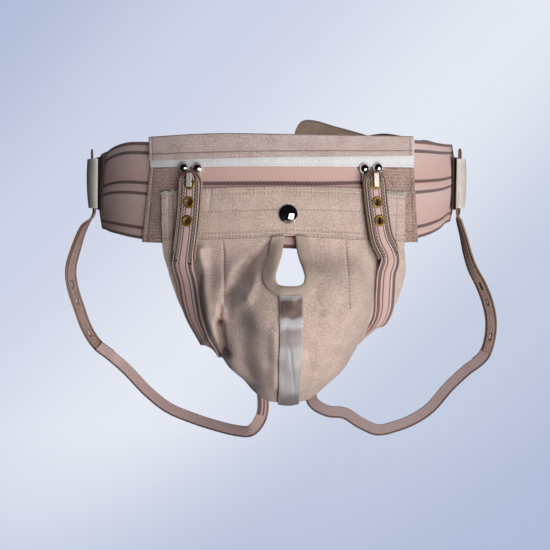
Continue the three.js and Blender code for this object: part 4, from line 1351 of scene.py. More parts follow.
def flap_edges(u):
    top = read(FLAP_EDGES, "along", "top", u) * PANEL_TOP
    bottom = read(FLAP_EDGES, "along", "bottom", u) * PANEL_TOP
    return top, bottom


flap_length = loop_length(FLAP_LEFT, FLAP_RIGHT)
flap_height = 18.5
FLAP_END = 2.8


def flap_relief(u, v):
    from_end = min(u, 1 - u) * flap_length
    hem = 0.35 * (1 - smoothstep(v, FLAP_HEM - 0.06, FLAP_HEM)) + groove(v, FLAP_HEM, 0.035, 0.3)
    end = 0.35 * (1 - smoothstep(from_end, FLAP_END, FLAP_END + 0.8))
    end += groove(from_end, FLAP_END + 0.4, 0.5, 0.3)
    edge = -0.5 * smoothstep(v, 0.93, 1)
    soft = noise.noise(Vector((u * 14, v * 1.2, 0.3))) * 0.55
    return hem + end + edge + soft - 0.3


flap = layer(
    "top_flap", FLAP_LEFT, FLAP_RIGHT, flap_edges, LAYER_FROM + FLAP_THICKNESS,
    (flap_length, flap_height), flap_twill, 320, 40, relief=flap_relief,
)
thicken(flap, FLAP_THICKNESS - 0.3, edge=0.5)
print("top flap:", round(flap_length), "mm long")

# %% [markdown]
# ## Waistband
# The waistband has a double row of stitches at its top and bottom and one row in the middle. The
# cloth puffs up a little between the rows, and one small fold runs down from the top at the left.

# %% Waistband
def band_edges(u):
    return band_edge("top", u), band_edge("bottom", u)


band_length = loop_length(BAND_LEFT, BAND_RIGHT)
BAND_END_HEM = 5.5


def band_relief(u, v):
    drop = 1 - v
    rows = sum(groove(drop, row, 0.016, 0.4) for row in BAND_ROWS)
    from_end = min(u, 1 - u) * band_length
    end = 0.3 * (1 - smoothstep(from_end, BAND_END_HEM, BAND_END_HEM + 1))
    end += groove(from_end, BAND_END_HEM + 0.5, 0.7, 0.35)
    quilt = 0.28 * math.sin(math.pi * clamp((drop - 0.115) / 0.345)) ** 2
    quilt += 0.28 * math.sin(math.pi * clamp((drop - 0.46) / 0.425)) ** 2
    soft = noise.noise(Vector((u * 22, drop * 2.2, 5.1))) * 0.7
    fold = -0.7 * math.exp(-((u - 0.215 + 0.02 * drop) / 0.008) ** 2) * (1 - smoothstep(drop, 0.3, 0.55))
    return rows + end + quilt + soft * 0.6 + fold - 0.35


band = layer(
    "waistband", BAND_LEFT, BAND_RIGHT, band_edges, BAND_FACE,
    (band_length, BAND_HEIGHT), band_twill, 340, 90, relief=band_relief,
)
thicken(band, BAND_THICKNESS - 0.4, edge=0.5)
print("waistband:", round(band_length), "mm long")

# %% [markdown]
# ## The pouch's fine folds
# The cup hangs from the waistband. Its broad folds are the same as in the solid, and a second
# table adds the sharp ones that only fine cloth shows: the sewn darts, the pocket fold below the
# left dart and the creases round the keyhole. The cloth is worked out once on a grid of points.

# %% Fine folds
FINE_FOLDS = table(
    "x0 z0 x1 z1 spread depth",
    (-0.515, 0.0, -0.5, 0.39, 0.02, 0.035),
    (-0.535, 0.4, -0.545, 0.5, 0.05, 0.12),
    (-0.545, 0.5, -0.515, 0.68, 0.085, 0.36),
    (-0.4, 0.46, -0.3, 0.86, 0.26, 0.24),
    (-0.3, 0.14, -0.46, 0.3, 0.1, 0.1),
    (-0.7, 0.08, -0.63, 0.6, 0.13, -0.16),
    (0.476, 0.0, 0.495, 0.4, 0.022, 0.03),
    (0.46, 0.4, 0.44, 0.6, 0.1, -0.03),
    (-0.16, 0.04, -0.34, 0.19, 0.06, 0.07),
    (-0.24, 0.2, -0.3, 0.33, 0.1, -0.06),
    (-0.29, 0.33, -0.06, 0.39, 0.05, 0.03),
    (0.18, 0.09, 0.43, 0.34, 0.07, -0.02),
    (0.2, 0.31, 0.26, 0.4, 0.09, 0.075),
    (0.37, 0.03, 0.41, 0.06, 0.06, 0.025),
    (0.15, 0.61, 0.18, 0.75, 0.05, 0.06),
    (0.38, 0.64, 0.41, 0.72, 0.08, 0.045),
    (-0.14, 0.47, -0.1, 0.5, 0.03, 0.025),
    (-0.1, 0.5, -0.1, 0.85, 0.1, -0.05),
    (0.66, 0.12, 0.7, 0.45, 0.1, 0.02),
    (-0.04, 0.0, -0.06, 0.08, 0.16, -0.08),
    (-0.08, 0.12, -0.1, 0.22, 0.16, -0.09),
    (0.09, 0.0, 0.1, 0.08, 0.16, -0.07),
    (0.12, 0.12, 0.14, 0.22, 0.16, -0.08),
    (-0.02, 0.275, 0.07, 0.275, 0.14, -0.07),
)
CLOTH_COLUMNS = 210
CLOTH_ROWS = 170


def cloth_point(across, down):
    """The cup with all its folds and a soft unevenness."""
    point = cup(across, down)
    push = crease_depth(POUCH_FOLDS, point) * smoothstep(down, 0.04, 0.18)
    push += crease_depth(FINE_FOLDS, point) * smoothstep(down, 0.0, 0.05)
    lift = (ripple(point, 26, 0.9) + ripple(point, 9, 0.35)) * smoothstep(down, 0.05, 0.2)
    return point + normal_of(cup, across, down) * lift + Vector((0, push, 0))


cloth = [
    [cloth_point(2 * i / CLOTH_COLUMNS - 1, j / CLOTH_ROWS) for i in range(CLOTH_COLUMNS + 1)]
    for j in range(CLOTH_ROWS + 1)
]
print("points of the cloth:", len(cloth) * len(cloth[0]))

# %% [markdown]
# ## Places on the cloth
# Tapes, ribbon and stitches lie on the folded cloth, so they read its grid. A cloth place with a
# given x and height is found by stepping towards it, which also works where the cloth leans back.

# %% Places on the cloth
SEARCH_START = 0.3
SEARCH_ROUNDS = 18
SEARCH_WIDTH = 130
SEARCH_DROP = 150


def cloth_at(across, down):
    """The cloth between its grid points, which is quick to read for tapes and stitches."""
    x = clamp((across + 1) / 2) * CLOTH_COLUMNS
    y = clamp(down) * CLOTH_ROWS
    i = min(int(x), CLOTH_COLUMNS - 1)
    j = min(int(y), CLOTH_ROWS - 1)
    upper = cloth[j][i].lerp(cloth[j][i + 1], x - i)
    lower = cloth[j + 1][i].lerp(cloth[j + 1][i + 1], x - i)
    return upper.lerp(lower, y - j)


def cloth_normal(across, down):
    sideways = cloth_at(across + 0.015, down) - cloth_at(across - 0.015, down)
    downwards = cloth_at(across, down + 0.01) - cloth_at(across, down - 0.01)
    return downwards.cross(sideways).normalized()


def on_cloth(across, down, lift):
    return cloth_at(across, down) + cloth_normal(across, down) * lift


def cloth_spot(x, height):
    """Shares across and down at which the cloth has a given x and height."""
    across = across_at(x, SEARCH_START)
    down = SEARCH_START
    for _ in range(SEARCH_ROUNDS):
        point = cloth_at(across, down)
        across = clamp(across + (x - point.x) / SEARCH_WIDTH, -1, 1)
        down = clamp(down + (point.z - height) / SEARCH_DROP, 0, LOWEST_SHARE)
    return across, down


print("cloth at the middle:", [round(value) for value in cloth_at(0, 0.5)], "mm")

# %% [markdown]
# ## The keyhole
# The opening is narrow at the waistband and round below. Its outline is a table of half widths,
# which gives a curve for the binding and a test for the faces to cut out. The cut is made a little
# larger than the outline, so that its rough edge hides under the binding.

# %% Keyhole
KEYHOLE_EDGE = table(
    "down half",
    (0, 0.44),
    (0.22, 0.52),
    (0.44, 0.66),
    (0.62, 0.88),
    (0.78, 1),
    (0.92, 0.9),
    (0.985, 0.56),
)


def keyhole_curve():
    points = []
    for hand, rows in ((-1, KEYHOLE_EDGE), (1, KEYHOLE_EDGE[::-1])):
        for row in rows:
            x = POUCH_CENTRE + KEYHOLE_SHIFT + hand * row["half"] * KEYHOLE_WIDTH / 2
            points.append(Vector((x, 0, KEYHOLE_TOP - row["down"] * KEYHOLE_HEIGHT)))
    return Curve(points)


keyhole = keyhole_curve()
KEYHOLE_GROW = 1.6


def keyhole_half(height):
    """Half width of the keyhole at a height, or 0 below it."""
    down = clamp((KEYHOLE_TOP - height) / KEYHOLE_HEIGHT, 0, 1.01)
    if down > 1:
        return 0.0
    return read(KEYHOLE_EDGE, "down", "half", down) * KEYHOLE_WIDTH / 2


def outside_keyhole(point):
    if point.y > -WAIST_DEPTH / 2:
        return True
    away = abs(point.x - POUCH_CENTRE - KEYHOLE_SHIFT)
    return away > keyhole_half(point.z + KEYHOLE_GROW * 0.7) + KEYHOLE_GROW


print("keyhole outline:", round(keyhole.length), "mm")

# %% [markdown]
# ## The sewn cup
# The cup is one cloth that is gathered into shape. The faces inside the keyhole are left out, and
# the wall gets its thickness after that, so that the cut has an edge.

# %% Pouch
POUCH_ACROSS = 285
POUCH_DOWN = 190
pouch = new_piece(
    "pouch_cloth",
    grid_mesh(
        CLOTH_COLUMNS, CLOTH_ROWS, lambda u, v: cloth_at(2 * u - 1, 1 - v),
        (POUCH_ACROSS, POUCH_DOWN), outside_keyhole,
    ),
    twill, ("pouch",),
)
thicken(pouch, POUCH_THICKNESS - 0.6, edge=0.3)
print("pouch faces:", len(pouch.data.polygons))

# %% [markdown]
# ## Keyhole binding
# A tape is folded over the keyhole's cut edge: its section is a strip on the front, a round fold
# at the edge and a shorter strip behind. The rows of points walk along that section from its back.

# %% Keyhole binding
TAPE_BACK = 5.5
TAPE_FOLD = 1.1
TAPE_STEPS = 22


def tape_place(u, v):
    edge = keyhole.at(keyhole.share_at(u * keyhole.length))
    along = (keyhole.at(keyhole.share_at(u * keyhole.length + 0.05))
             - keyhole.at(keyhole.share_at(u * keyhole.length - 0.05))).normalized()
    front = TAPE_WIDTH * (1 - 0.36 * abs(along.x))
    fold = math.pi * TAPE_FOLD
    total = front + fold + TAPE_BACK
    walked = (1 - v) * total
    lift = FOLD_CLEARANCE + TAPE_THICKNESS
    if walked > total - front:
        reach = walked - fold - TAPE_BACK
        crown = 0.3 * math.sin(math.pi * clamp(reach / front)) - 0.45 * smoothstep(reach / front, 0.93, 1)
        out = lift + crown
    elif walked > TAPE_BACK:
        turn = (walked - TAPE_BACK) / TAPE_FOLD
        middle = (lift - POUCH_THICKNESS) / 2 - 0.2
        spread = (lift + POUCH_THICKNESS) / 2 + 0.2
        reach = -math.sin(turn) * TAPE_FOLD
        out = middle - math.cos(turn) * spread
    else:
        reach = TAPE_BACK - walked
        out = -POUCH_THICKNESS - 0.4
    x = edge.x + along.z * reach
    height = min(edge.z - along.x * reach, KEYHOLE_TOP)
    across, down = cloth_spot(x, height)
    return on_cloth(across, down, out)


tape_width = TAPE_WIDTH + math.pi * TAPE_FOLD + TAPE_BACK
tape = new_piece(
    "keyhole_binding",
    grid_mesh(90, TAPE_STEPS, tape_place, (keyhole.length + 30, tape_width)),
    binding_tape, ("keyhole_tape",),
)
thicken(tape, 0.8, edge=0.25)
print("binding:", round(tape_width, 1), "mm wide")

# %% [markdown]
# ## Centre ribbon
# A satin ribbon covers the pouch's middle seam from the keyhole to the lowest place. It is a strip
# that follows the cloth, with soft waves and a crumpled part below the keyhole.

# %% Centre ribbon
RIBBON_TOP = KEYHOLE_TOP - KEYHOLE_HEIGHT - 0.72 * TAPE_WIDTH + 1.5
ribbon_start = cloth_spot(POUCH_CENTRE, RIBBON_TOP)[1]
RIBBON_LENGTH = 118


def ribbon_place(u, v):
    down = lerp(ribbon_start, 1, 1 - v)
    x = POUCH_CENTRE + lerp(1.0, 2.6, v) + (u - 0.5) * RIBBON_WIDTH * lerp(1.0, 1.05, v)
    along = (1 - v) * RIBBON_LENGTH
    middle = 1 - (2 * u - 1) ** 2
    wave = 0.7 * math.sin(along / 26 * math.tau + 0.6 + u)
    crumple = noise.noise(Vector((u * 3, along / 5.5, 2.2))) * 1.6 * (1 - smoothstep(along, 4, 16))
    crease = -0.5 * math.exp(-((u - 0.25 - along / 170) / 0.05) ** 2) * smoothstep(along, 30, 50)
    lift = FOLD_CLEARANCE + RIBBON_THICKNESS + (wave + crumple) * (0.3 + 0.7 * middle) + crease
    return on_cloth(across_at(x, down), down, lift - 0.4 * abs(2 * u - 1) ** 8 + 0.2)


ribbon = new_piece(
    "centre_satin",
    grid_mesh(26, 150, ribbon_place, (RIBBON_WIDTH, RIBBON_LENGTH)),
    satin, ("centre_ribbon",),
)
thicken(ribbon, 0.6, edge=0.2)
print("ribbon:", RIBBON_LENGTH, "mm long")

# %% [markdown]
# ## A strap from a flat grid
# A strap's grid is laid along its run. At a rounded end the columns get closer, and the strip gets
# narrower in a half circle, which needs no cutting. The face is a function of the place, so that
# leather can roll up at its edge and webbing can step down.

# %% Places on a strap
EYELET_SPOTS = [FIRST_EYELET + i * EYELET_PITCH for i in range(3)]
EYELET_HOLE = 3.4


def rounded_width(width, from_end):
    radius = width / 2
    inside = clamp(radius - from_end, 0, radius * 0.985)
    return 2 * math.sqrt(radius * radius - inside * inside)


def strap_place(run, start, end, width, face, rounded=True, crown=0.0, near=0.25, widen=None):
    """Places along a run, with closer steps at a rounded end. The face is read per distance."""
    radius = width / 2 if rounded else 0.0

    def place(u, v):
        if rounded and u < near:
            distance = start + radius * (1 - math.cos(u / near * math.pi / 2))
        elif rounded:
            distance = lerp(start + radius, end, (u - near) / (1 - near))
        else:
            distance = lerp(start, end, u)
        point, _, side, out = run.at(distance)
        wide = rounded_width(width, distance - start) if rounded else width
        if widen:
            wide += widen(distance)
        away = wide * (0.5 - v)
        dome = crown * (1 - (2 * v - 1) ** 2)
        from_tip = distance - start
        inside = radius - math.hypot(radius - from_tip, away) if from_tip < radius else width / 2 - abs(away)
        return point + side * away + out * (face(distance, inside) + dome)
    return place


print("eyelets sit at", EYELET_SPOTS, "mm")

# %% [markdown]
# ## Front straps
# Each strap end is leather with a rounded top. The striped webbing lies on it, a little narrower,
# and is sewn down with dense zigzag stitches. Both have holes under the brass eyelets.

# %% Front straps
SEWN_WIDTH = 16
LEATHER_ROLL = 1.7
ROLL_INSET = 0.9
ROLL_WIDTH = 0.85
ROLL_END = 66
STEP_FROM = 5
STEP_TO = 17


def eyelet_holes(run):
    centres = [run.at(distance)[0] for distance in EYELET_SPOTS]

    def keep(point):
        near = min(((point.x - c.x) ** 2 + (point.z - c.z) ** 2) for c in centres)
        return near > EYELET_HOLE ** 2
    return keep


def strap_drop(distance):
    """The webbing comes down to the run where the leather ends."""
    return STRAP_OVER * (1 - smoothstep(distance, LEATHER_LENGTH + STEP_FROM, LEATHER_LENGTH + STEP_TO))


def leather_face(distance, inside):
    """The leather rolls up round the webbing's edge like a thin cord."""
    roll = math.exp(-((inside - ROLL_INSET) / ROLL_WIDTH) ** 2)
    return LEATHER_THICKNESS + LEATHER_ROLL * roll * (1 - smoothstep(distance, ROLL_END, LEATHER_LENGTH))


def web_face(distance, inside):
    return strap_drop(distance) + STRAP_THICKNESS - 0.1


def web_widen(distance):
    return (FRONT_STRAP_WIDTH - SEWN_WIDTH) * smoothstep(distance, LEATHER_LENGTH - 6, LEATHER_LENGTH + 10)


def front_strap_pieces(row):
    side = row["side"]
    run = front_runs[side]
    inset = (LEATHER_WIDTH - SEWN_WIDTH) / 2
    leather_place = strap_place(run, 0, LEATHER_LENGTH, LEATHER_WIDTH, leather_face)
    leather = new_piece(
        f"strap_end_{side}",
        grid_mesh(120, 44, leather_place, (LEATHER_LENGTH, LEATHER_WIDTH), eyelet_holes(run)),
        brown_leather, (f"strap_leather_{side}",),
    )
    thicken(leather, LEATHER_THICKNESS - 0.1, edge=0.4)
    web_place = strap_place(
        run, inset, run.length, SEWN_WIDTH, web_face, crown=0.15, near=0.12, widen=web_widen,
    )
    webbing = new_piece(
        f"strap_webbing_{side}",
        grid_mesh(260, 24, web_place, (run.length, FRONT_STRAP_WIDTH), eyelet_holes(run)),
        strap_webbing, (f"front_strap_{side}",),
    )
    thicken(webbing, STRAP_THICKNESS - 0.3, edge=0.3)


for row in FRONT_STRAPS:
    front_strap_pieces(row)
print("front strap pieces:", 2 * len(FRONT_STRAPS))

# %% [markdown]
# ## Turned metal
# Snap, rivets and eyelets are round, so each is a profile spun once about its axis and moved to
# its seat by a matrix that comes from the strap's run or from the belt.

# %% Turned shapes
def spun(profile, steps, matrix):
    """A closed or capped profile of (radius, height) spun about Z and moved by a matrix."""
    mesh = bmesh.new()
    ring = [mesh.verts.new((radius, 0, height)) for radius, height in profile]
    edges = [mesh.edges.new(pair) for pair in zip(ring, ring[1:])]
    bmesh.ops.spin(
        mesh, geom=ring + edges, cent=(0, 0, 0), axis=(0, 0, 1), angle=math.tau, steps=steps,
        use_merge=True, use_duplicate=False,
    )
    bmesh.ops.remove_doubles(mesh, verts=mesh.verts, dist=1e-4)
    bmesh.ops.recalc_face_normals(mesh, faces=mesh.faces)
    for face in mesh.faces:
        face.smooth = True
    bmesh.ops.transform(mesh, matrix=matrix, verts=mesh.verts)
    bmesh.ops.scale(mesh, vec=(MM, MM, MM), verts=mesh.verts)
    return mesh


def dome_profile(radius, rise, rim, steps=16):
    """A flat back, a small rolled rim and a crown that is part of a ball and closes on the axis."""
    crown = radius * 0.95
    height = rise - rim
    ball = (crown * crown + height * height) / (2 * height)
    edge = math.asin(min(crown / ball, 1))
    rows = [(0.0, 0.0), (radius * 0.97, 0.0), (radius, rim * 0.4), (radius * 0.99, rim * 0.85)]
    for i in range(steps + 1):
        angle = edge * (1 - i / steps)
        rows.append((ball * math.sin(angle), rise - ball * (1 - math.cos(angle))))
    return rows


def belt_frame(angle, height, offset):
    out = loop_normal(angle)
    up = Vector((0, 0, 1))
    turned = Matrix((up.cross(out), up, out)).transposed().to_4x4()
    return Matrix.Translation(on_belt(angle, height, offset)) @ turned


# %% [markdown]
# ## Snap, rivets and eyelets
# The snap and the rivets are flat domes, and an eyelet is a rolled flange with a tube through the
# strap. The rivets sit just above the strap's rounded top, where they hold the hook's plate.

# %% Snap, rivets and eyelets
SNAP_ANGLE = 3.1
SNAP_HEIGHT = -0.435 * BAND_HEIGHT
SNAP_RADIUS = 7.5
SNAP_RISE = 3.4
snap_seat = belt_frame(SNAP_ANGLE, SNAP_HEIGHT, BAND_FACE + CLEARANCE)
new_piece(
    "snap_dome", spun(dome_profile(SNAP_RADIUS, SNAP_RISE, 0.5), 64, snap_seat),
    chrome, ("snap_cap",),
)

RIVET_RADIUS = 3.6
RIVET_RISE = 2.4
RIVET_SPACING = 12
RIVET_HEIGHT = 12.7
RIVET_SHIFT = {"left": -2.3, "right": 0.0}
PLATE_THICKNESS = 1
PLATE_SEAT = LAYER_FROM - STRAP_STAND_OFF
EYELET_PROFILE = [
    (2.55, -3.1), (3.05, -3.1), (3.05, 0.2), (4.55, 0.2), (4.7, 0.35), (4.62, 0.7), (4.3, 1.0),
    (3.85, 1.18), (3.35, 1.15), (2.95, 0.95), (2.7, 0.6), (2.6, 0.1), (2.55, -3.1),
]
for row in FRONT_STRAPS:
    side = row["side"]
    run = front_runs[side]
    for i, distance in enumerate(EYELET_SPOTS, start=1):
        seat = run.frame(distance, STRAP_OVER + STRAP_THICKNESS)
        new_piece(f"eyelet_ring_{side}_{i}", spun(EYELET_PROFILE, 40, seat), brass,
                  (f"eyelet_{side}_{i}",))
    for i, hand in enumerate((-1, 1), start=1):
        seat = run.frame(FIRST_EYELET, PLATE_SEAT + PLATE_THICKNESS + CLEARANCE)
        seat = seat @ Matrix.Translation((hand * RIVET_SPACING / 2 + RIVET_SHIFT[side], RIVET_HEIGHT, 0))
        new_piece(f"rivet_dome_{side}_{i}", spun(dome_profile(RIVET_RADIUS, RIVET_RISE, 0.5), 40, seat),
                  chrome, (f"rivet_{side}_{i}",))
print("eyelets:", len(EYELET_SPOTS) * len(FRONT_STRAPS), "rivets:", 2 * len(FRONT_STRAPS))

# %% [markdown]
# ## Hooks
# A hook is a riveted plate with a tongue that comes out through the first eyelet and lies on it.
# The plate is a short bar with a round ear under each rivet, and the tongue a bent bar.

# %% Hooks
HOOK_WIDTH = 20
TONGUE_WIDTH = 4.4
TONGUE_LENGTH = 8.8
TONGUE_FOOT = -2.4
EAR_RADIUS = 4.6


def box_at(mesh, low, high):
    """A box between two corners, its vertices given back."""
    made = bmesh.ops.create_cube(mesh, size=1.0)["verts"]
    size = Vector(high) - Vector(low)
    bmesh.ops.scale(mesh, vec=size, verts=made)
    bmesh.ops.translate(mesh, vec=(Vector(low) + Vector(high)) / 2, verts=made)
    return made


def hook_mesh(run, shift):
    mesh = bmesh.new()
    box_at(mesh, (shift - HOOK_WIDTH / 2 + 1, 2, 0), (shift + HOOK_WIDTH / 2 - 1, 9, PLATE_THICKNESS))
    for hand in (-1, 1):
        seat = Matrix.Translation((shift + hand * RIVET_SPACING / 2, RIVET_HEIGHT, PLATE_THICKNESS / 2))
        bmesh.ops.create_cone(
            mesh, cap_ends=True, segments=40, radius1=EAR_RADIUS, radius2=EAR_RADIUS,
            depth=PLATE_THICKNESS, matrix=seat,
        )
    near = STRAP_STAND_OFF - LAYER_FROM + STRAP_OVER + STRAP_THICKNESS + 2 * CLEARANCE + 0.9
    box_at(mesh, (-TONGUE_WIDTH / 2, -0.5, 0.2), (TONGUE_WIDTH / 2, 0.6, near + 1))
    box_at(mesh, (-TONGUE_WIDTH / 2, TONGUE_FOOT, near), (TONGUE_WIDTH / 2, TONGUE_LENGTH, near + 1.2))
    sharp = [edge for edge in mesh.edges if edge.calc_face_angle(0) > 1.2]
    bmesh.ops.bevel(mesh, geom=sharp, offset=0.42, segments=3, profile=0.5, affect="EDGES", material=-1)
    for face in mesh.faces:
        face.smooth = len(face.verts) == 4 and face.calc_area() < 3
    bmesh.ops.transform(mesh, matrix=run.frame(FIRST_EYELET, PLATE_SEAT), verts=mesh.verts)
    bmesh.ops.scale(mesh, vec=(MM, MM, MM), verts=mesh.verts)
    return mesh


for row in FRONT_STRAPS:
    side = row["side"]
    plate = hook_mesh(front_runs[side], RIVET_SHIFT[side])
    new_piece(f"hook_plate_{side}", plate, nickel, (f"hook_{side}",))
print("hooks:", len(FRONT_STRAPS))

# %% [markdown]
# ## Sleeves
# Pale leather sleeves on darker leather hold the tips of the leg straps at the belt's sides. The
# base is a patch on the belt, and the sleeve a flat tube whose belly leaves room for the strap.

# %% Sleeves
KEEPER_EDGES = {
    "left": {"sleeve_low": 71.2, "sleeve_high": 68.8, "base_low": 69, "base_high": 64.5},
    "right": {"sleeve_low": 71.4, "sleeve_high": 71, "base_low": 69.8, "base_high": 69},
}
KEEPER_BACK = 87
KEEPER_BASE_BACK = 90
KEEPER_BASE_LAP = 1.5
SLEEVE_FLAT = 1.6


def keeper_pieces(row):
    side = row["side"]
    hand = row["hand"]
    edges = KEEPER_EDGES[side]
    base_length = loop_length(edges["base_low"], KEEPER_BASE_BACK)
    low = KEEPER_TOP - KEEPER_HEIGHT - KEEPER_BASE_LAP
    high = KEEPER_TOP + KEEPER_BASE_LAP

    def base_place(u, v):
        front = lerp(edges["base_low"], edges["base_high"], v)
        angle = hand * lerp(front, KEEPER_BASE_BACK, u if hand > 0 else 1 - u)
        return on_belt(angle, lerp(low, high, v), BELT_FACE + CLEARANCE + KEEPER_BASE_THICKNESS)

    # The base's dark leather is partly painted shade: it stands for the shade in the gap beside the sleeve.
    base = new_piece(
        f"keeper_ground_{side}", grid_mesh(36, 40, base_place, (base_length, high - low)),
        dark_leather_with_gap_shade, (f"keeper_base_{side}",),
    )
    thicken(base, KEEPER_BASE_THICKNESS, edge=0.4)
    girth = 2 * loop_length(edges["sleeve_low"], KEEPER_BACK) + 2 * KEEPER_BULGE

    def sleeve_place(u, v):
        turn = math.tau * u * -hand
        across = 0.5 + 0.5 * math.cos(turn)
        angle = lerp(lerp(edges["sleeve_low"], edges["sleeve_high"], v), KEEPER_BACK, across)
        height = lerp(KEEPER_TOP - KEEPER_HEIGHT, KEEPER_TOP, v)
        belly = 1 - 0.25 * (2 * v - 1) ** 2
        rise = KEEPER_WALL * 2 + 1 + KEEPER_BULGE * belly
        bend = math.sin(turn)
        out = SLEEVE_FLAT + (rise - SLEEVE_FLAT) * (bend if bend > 0 else 0.35 * bend)
        return on_belt(hand * angle, height, KEEPER_FROM + max(out, 0.05))

    mesh = grid_mesh(72, 40, sleeve_place, (girth, KEEPER_HEIGHT))
    bmesh.ops.remove_doubles(mesh, verts=mesh.verts, dist=1e-6)
    bmesh.ops.recalc_face_normals(mesh, faces=mesh.faces)
    sleeve = new_piece(f"sleeve_{side}", mesh, pale_leather, (f"keeper_{side}",))
    thicken(sleeve, KEEPER_WALL - 0.2, edge=0.35)


# %% [markdown]
# ## Leg straps
# A leg strap is leather with slots at first, with a strip of webbing sewn on it, and thin webbing
# from there to the pouch. The slots are cut by leaving out faces, smaller in the leather than in
# the strip, so that leather shows round each slit.

# %% Leg straps
LEG_STRIP_WIDTH = 6.6
LEG_STRIP_THICKNESS = 0.6
SLIT_SHARE = 0.4
WINDOW_SHARE = 1.15
LEG_STEP = 16


def slot_holes(run, share):
    """Keeps what lies outside the slots, which are drawn at a share of their size."""
    centres = []
    for start in SLOT_STARTS:
        point, along, side, _ = run.at(start * LEG_LEATHER_LENGTH)
        centres.append((point, along, side))

    def keep(place):
        for point, along, side in centres:
            away = place - point
            in_length = abs(away.dot(along)) < SLOT_LENGTH / 2 * (0.4 + 0.6 * share)
            if in_length and abs(away.dot(side)) < SLOT_WIDTH / 2 * share:
                return False
        return True
    return keep


def leg_offset(distance):
    return -(2 * CLEARANCE + LEG_STRAP_THICKNESS) * (
        1 - smoothstep(distance, LEG_LEATHER_LENGTH, LEG_LEATHER_LENGTH + LEG_STEP)
    )


def leg_pieces(row):
    side = row["side"]
    run = leg_runs[side]
    place = strap_place(
        run, 0, LEG_LEATHER_LENGTH, LEG_STRAP_WIDTH,
        lambda d, inside: LEG_LEATHER_THICKNESS - 0.5, near=0.06,
    )
    leather = new_piece(
        f"leg_end_{side}",
        grid_mesh(240, 15, place, (LEG_LEATHER_LENGTH, LEG_STRAP_WIDTH), slot_holes(run, SLIT_SHARE)),
        leg_leather, (f"leg_leather_{side}",),
    )
    thicken(leather, LEG_LEATHER_THICKNESS - 0.5, edge=0.4)
    strip_start = KEEPER_HEIGHT + LEG_TIP_RISE
    strip_length = LEG_LEATHER_LENGTH - strip_start - 1
    strip_place = strap_place(
        run, strip_start, LEG_LEATHER_LENGTH - 1, LEG_STRIP_WIDTH,
        lambda d, inside: -0.1 - LEG_STRIP_THICKNESS, rounded=False, crown=-0.15,
    )
    strip = new_piece(
        f"leg_strip_{side}",
        grid_mesh(190, 10, strip_place, (strip_length, LEG_STRIP_WIDTH), slot_holes(run, WINDOW_SHARE)),
        leg_strip_webbing,
    )
    thicken(strip, LEG_STRIP_THICKNESS, edge=0.15, offset=1.0)
    start = LEG_LEATHER_LENGTH - LEG_LEATHER_LAP
    length = run.length - start
    web_place = strap_place(
        run, start, run.length, LEG_STRAP_WIDTH,
        lambda d, inside: leg_offset(d) + LEG_STRAP_THICKNESS - 0.2, rounded=False,
    )
    web = new_piece(
        f"leg_webbing_{side}", grid_mesh(240, 12, web_place, (length, LEG_STRAP_WIDTH)),
        leg_webbing[side], (f"leg_strap_{side}",),
    )
    thicken(web, LEG_STRAP_THICKNESS - 0.4, edge=0.3)


for row in LEG_STRAPS:
    keeper_pieces(row)
    leg_pieces(row)
print("pieces of sleeves and leg straps:", 5 * len(LEG_STRAPS))

# %% [markdown]
# ## The closing tongue
# At the back a tan leather tongue lies over the webbing and slants upwards to its rounded tip. A
# table gives its middle line and half height, and the columns get closer towards the tip, where
# the outline turns quickly.

# %% Closing tongue
TAB_FROM = 136
TAB_TO = 173.5
TAB_OUTLINE = table(
    "along height half",
    (0, 0.3, 0.33),
    (0.3, 0.415, 0.335),
    (0.6, 0.525, 0.335),
    (0.8, 0.595, 0.34),
    (0.92, 0.615, 0.31),
    (0.98, 0.61, 0.21),
    (1, 0.6, 0.11),
)
tab_length = loop_length(TAB_FROM, TAB_TO)


def tab_place(u, v):
    along = math.sin(u * math.pi / 2)
    middle = read(TAB_OUTLINE, "along", "height", along) * BELT_WIDTH
    half = read(TAB_OUTLINE, "along", "half", along) * BELT_WIDTH
    return on_belt(lerp(TAB_FROM, TAB_TO, along), middle + half * (2 * v - 1),
                   BELT_FACE + CLEARANCE + TAB_THICKNESS)


tab = new_piece(
    "closing_tongue", grid_mesh(70, 40, tab_place, (tab_length, 0.67 * BELT_WIDTH)),
    tan_leather, ("closure_tab",),
)
thicken(tab, TAB_THICKNESS, edge=0.5)
print("tongue:", round(tab_length), "mm long")

# %% [markdown]
# ## Stitches on the panel
# Rows of thread hold the waistband, the flap and the white tape. A texture could show them, but a
# raised thread catches the light at its edges. Each family of rows is one joined piece.

# %% Stitches on the panel
ROW_FROM = 0.02
ROW_TO = 0.98
ROW_SHARE = 0.96
FACING_ROWS = ((FACING_LEFT, -26), (-21, 24.6), (30.2, FACING_RIGHT))
panel_threads = bmesh.new()
for row_share in BAND_ROWS:
    def row_height(share, row_share=row_share):
        top, bottom = band_edges(lerp(ROW_FROM, ROW_TO, share))
        return lerp(top, bottom, row_share)
    start = lerp(BAND_LEFT, BAND_RIGHT, ROW_FROM)
    end = lerp(BAND_LEFT, BAND_RIGHT, ROW_TO)
    path = belt_path(start, end, row_height, BAND_FACE + 0.05)
    stitch_row(panel_threads, path, band_length * ROW_SHARE, pitch=2.7, thread=0.75, gap=0.4)
thread_piece("waistband_stitches", panel_threads, thread_pale)

flap_threads = bmesh.new()


def flap_height_at(share):
    top, bottom = flap_edges(lerp(ROW_FROM, ROW_TO, share))
    return lerp(bottom, top, FLAP_HEM)


flap_path = belt_path(
    lerp(FLAP_LEFT, FLAP_RIGHT, ROW_FROM), lerp(FLAP_LEFT, FLAP_RIGHT, ROW_TO), flap_height_at,
    LAYER_FROM + FLAP_THICKNESS + 0.05,
)
stitch_row(flap_threads, flap_path, flap_length * ROW_SHARE, pitch=2.7, thread=0.6, gap=0.45)
thread_piece("flap_stitches", flap_threads, thread_dark)

